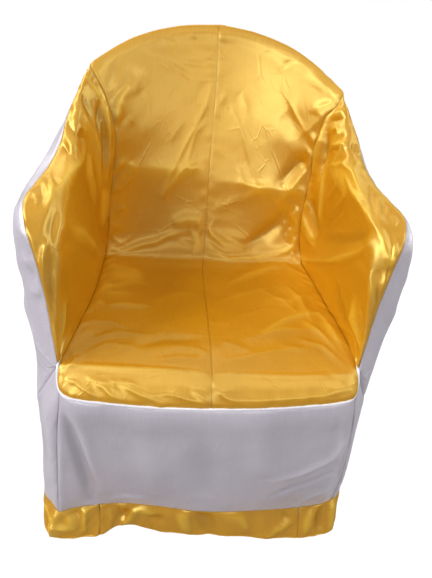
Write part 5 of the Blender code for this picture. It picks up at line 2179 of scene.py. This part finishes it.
@dataclass
class HemBand:
    """The gold band round the bottom, in two lengths."""

    lines: HemLines
    cell: float = 0.0042
    front_flat: Pair = (0.42, 0.067)
    round_flat: Pair = (1.96, 0.067)
    filled: float = 0.985

    def length(self, name: str, node: str, ends: Pair, seed: int) -> Panel:
        """One length of the band.

        Args:
            name: The piece's name.
            node: The node whose creases it takes.
            ends: Its first and last bearing.
            seed: Which waves.

        Returns:
            The panel.
        """
        seam, edge = self.lines.seam, self.lines.edge
        return Panel(
            name=name,
            place=lambda bearing, v: (1 - v) * seam(bearing) + v * edge(bearing),
            across=ends,
            down=(0, 1),
            cell=self.cell,
            facing=1,
            sewn=Sewn(bottom=0),
            creases=CREASES[node],
            relief=HEM_RELIEF,
            pucker=0.0022,
            pucker_pitch=0.022,
            wave=0.0030,
            wave_length=0.034,
            wave_stretch=2.5,
            seed=seed,
        )

    def build(self, finish: bpy.types.Material) -> None:
        """Makes and registers both lengths.

        Args:
            finish: The gold satin.
        """
        front = self.length("gold_hem_front", "hem_band_front", (-HEM_JOINT, HEM_JOINT), 71)
        rest = self.length("gold_hem_round", "hem_band_round", (HEM_JOINT, 360 - HEM_JOINT), 81)
        for panel, node, flat, above in (
            (front, "hem_band_front", self.front_flat, "white_skirt_front"),
            (rest, "hem_band_round", self.round_flat, "white_back_outside"),
        ):
            area = self.filled * flat[0] * flat[1]
            register(panel.build(finish), Cut(node, "gold_satin", flat, area, "hung", (above,)))


@dataclass
class SeatPiping:
    """The white covered cord along the seat's front edge and up to both arms."""

    radius: float = 0.0024
    ends: float = PIPING_ENDS
    stations: int = 420
    sides: int = 12
    wrap: float = 0.00025
    wrap_pitch: float = 0.006
    seam_away: float = 0.05
    seed: int = 5

    def build(self, finish: bpy.types.Material) -> bpy.types.Object:
        """Makes and registers the cord.

        Args:
            finish: The piping's satin.

        Returns:
            The cord.
        """
        where = np.linspace(-self.ends, self.ends, self.stations)
        line = both_sides(Smooth(SEAT_EDGE))(where)
        ahead = unit(np.gradient(line, axis=0))
        first = unit(np.cross(ahead, (0.0, 0.0, 1.0)))
        second = np.cross(first, ahead)
        along = np.concatenate(([0], np.cumsum(np.linalg.norm(np.diff(line, axis=0), axis=1))))
        angles = np.linspace(0, 2 * math.pi, self.sides, endpoint=False)
        radii = self.radius + self.wrap * ripple(along / self.wrap_pitch, along * 0, self.seed)
        turn = angles[None, :, None]
        ring = np.cos(turn) * first[:, None] + np.sin(turn) * second[:, None]
        points = line[:, None] + ring * radii[:, None, None]
        index = np.arange(self.stations * self.sides).reshape(self.stations, self.sides)
        beside = np.roll(index, -1, axis=1)
        faces = np.stack((index[:-1], index[1:], beside[1:], beside[:-1]), -1).reshape(-1, 4)
        caps = [index[0].tolist(), index[-1][::-1].tolist()]
        s = np.repeat(along, self.sides)
        t = np.tile(angles * self.radius, self.stations)
        name, cloth = "white_piping_seat", np.stack((s, t), -1)
        mesh = cloth_mesh(name, points.reshape(-1, 3), faces.tolist() + caps, cloth, finish)
        add_values(mesh, "seam", np.full(len(s), self.seam_away))
        cord = placed(name, mesh)
        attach(cord, ROOT)
        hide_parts("seat_piping")
        LOG.info("%s: %d stations", name, self.stations)
        return cord


class Lamp(NamedTuple):
    """An oval soft box: its name, place, width and height, and watts."""

    name: str
    at: Triple
    size: Pair
    power: float


@dataclass
class Studio:
    """Plain floor, soft lights and the camera."""

    floor_radius: float = 60.0
    rim_points: int = 64
    sensor: float = 36.0
    farthest: float = 200.0
    paper: Paper = Paper("studio_paper", (0.36, 0.36, 0.36), glow=1.3, share=0.75)
    ambient: float = 0.3
    backdrop: float = 1.1
    aim: Triple = (0.0, 0.0, 0.45)
    lamps: tuple[Lamp, ...] = (
        Lamp("soft_box_left", (-1.9, -0.3, 2.4), (1.3, 1.3), 36),
        Lamp("soft_box_right", (1.9, -0.3, 2.4), (1.3, 1.3), 13),
        Lamp("soft_box_wide", (0.0, -2.8, 2.2), (4.0, 1.2), 9),
        Lamp("soft_box_front_left", (-2.2, -2.0, 1.9), (1.4, 1.4), 38),
        Lamp("soft_box_front_right", (2.2, -2.0, 1.9), (1.4, 1.4), 10),
        Lamp("soft_box_top", (0.0, 0.1, 3.0), (1.6, 1.6), 4),
        Lamp("soft_box_rear", (0.0, 2.4, 2.2), (2.0, 1.2), 9),
        Lamp("soft_box_rear_left", (-1.8, 1.8, 2.4), (1.4, 1.2), 16),
        Lamp("soft_box_rear_right", (1.8, 1.8, 2.4), (1.4, 1.2), 7),
        Lamp("soft_box_right_low", (2.5, 0.5, 0.8), (1.2, 1.2), 15),
    )

    def camera(self) -> bpy.types.Object:
        """Places the camera.

        Returns:
            The camera.
        """
        right, up, ahead = EYE.axes()
        turn = Matrix((right, up, -ahead)).transposed().to_4x4()
        data = bpy.data.cameras.new("camera")
        data.sensor_width = self.sensor
        data.lens = EYE.focal * self.sensor / EYE.height
        data.clip_end = self.farthest
        camera = placed("camera", data)
        camera.matrix_world = Matrix.Translation(Vector(EYE.place)) @ turn
        bpy.context.scene.camera = camera
        return camera

    def light(self, lamp: Lamp) -> None:
        """Adds a soft box that faces the cover.

        Args:
            lamp: The soft box.
        """
        data = bpy.data.lights.new(lamp.name, "AREA")
        data.shape = "ELLIPSE"
        data.size, data.size_y = lamp.size
        data.energy = lamp.power
        box = placed(lamp.name, data)
        box.location = lamp.at
        ahead = Vector(self.aim) - Vector(lamp.at)
        box.rotation_euler = ahead.to_track_quat("-Z", "Y").to_euler()

    def floor(self) -> bpy.types.Object:
        """Lays the floor.

        Returns:
            The floor.
        """
        mesh = bpy.data.meshes.new("studio_floor")
        angles = np.linspace(0, 2 * math.pi, self.rim_points, endpoint=False)
        rim = np.stack((np.cos(angles), np.sin(angles), 0 * angles), -1) * self.floor_radius
        mesh.from_pydata(rim.tolist(), [], [list(range(self.rim_points))])
        mesh.materials.append(self.paper.material())
        floor = placed("studio_floor", mesh)
        return floor

    def world(self) -> None:
        """Sets the room's even light, and a paler backdrop where the camera sees it."""
        world = bpy.data.worlds.new("studio")
        world.use_nodes = True
        nodes, links = world.node_tree.nodes, world.node_tree.links
        room = nodes["Background"]
        room.inputs["Color"].default_value = (*WHITE, 1)
        room.inputs["Strength"].default_value = self.ambient
        seen = nodes.new("ShaderNodeBackground")
        seen.inputs["Color"].default_value = (*WHITE, 1)
        seen.inputs["Strength"].default_value = self.backdrop
        mix = nodes.new("ShaderNodeMixShader")
        links.new(nodes.new("ShaderNodeLightPath").outputs["Is Camera Ray"], mix.inputs[0])
        links.new(room.outputs[0], mix.inputs[1])
        links.new(seen.outputs[0], mix.inputs[2])
        links.new(mix.outputs[0], nodes["World Output"].inputs["Surface"])
        bpy.context.scene.world = world

    def build(self) -> None:
        """Makes the floor, the lights and the camera."""
        self.world()
        for lamp in self.lamps:
            self.light(lamp)
        self.floor()
        self.camera()
        bpy.context.scene.view_settings.view_transform = "Standard"


GOLD_SATIN = Satin(
    name="gold_satin",
    colour=(0.59, 0.235, 0.001),
    shade=(0.53, 0.20, 0.0005),
    light=(0.88, 0.54, 0.04),
    sheen=0.40,
    sheen_tint=(1.0, 0.72, 0.03),
    anisotropy=0.75,
    specular=1.0,
    gloss_tint=(1.0, 0.86, 0.28),
    index=2.15,
    streaks=0.14,
)
WHITE_SATIN = Satin(
    name="white_satin",
    colour=(0.55, 0.50, 0.575),
    shade=(0.47, 0.425, 0.495),
    light=(0.80, 0.76, 0.82),
    sheen=0.25,
    anisotropy=0.6,
    specular=0.8,
    index=1.95,
    crumple=0.25,
    fold_light_and_shade=0.22,
    streaks=0.16,
)
PIPING_SATIN = Satin(
    name="piping_satin",
    colour=(0.88, 0.87, 0.92),
    shade=(0.78, 0.76, 0.84),
    light=(0.97, 0.97, 1.0),
    roughness=0.34,
)


def main() -> None:
    """Builds the cover, sub-assembly by sub-assembly, and the studio round it."""
    logging.basicConfig(level=logging.INFO, format="%(name)s: %(message)s")
    gold, white, piping = GOLD_SATIN.material(), WHITE_SATIN.material(), PIPING_SATIN.material()
    lines = HemLines()
    left, right = SideSeams(Side.LEFT, lines.seam), SideSeams(Side.RIGHT, lines.seam)
    for seams in (left, right):
        GoldLining(seams).build(gold)
        WhiteSide(seams).build(white)
    FrontSkirt(left, right).build(white)
    OutsideBack(left, right).build(white)
    HemBand(lines).build(gold)
    SeatPiping().build(piping)
    Studio().build()


if __name__ == "__main__":
    main()
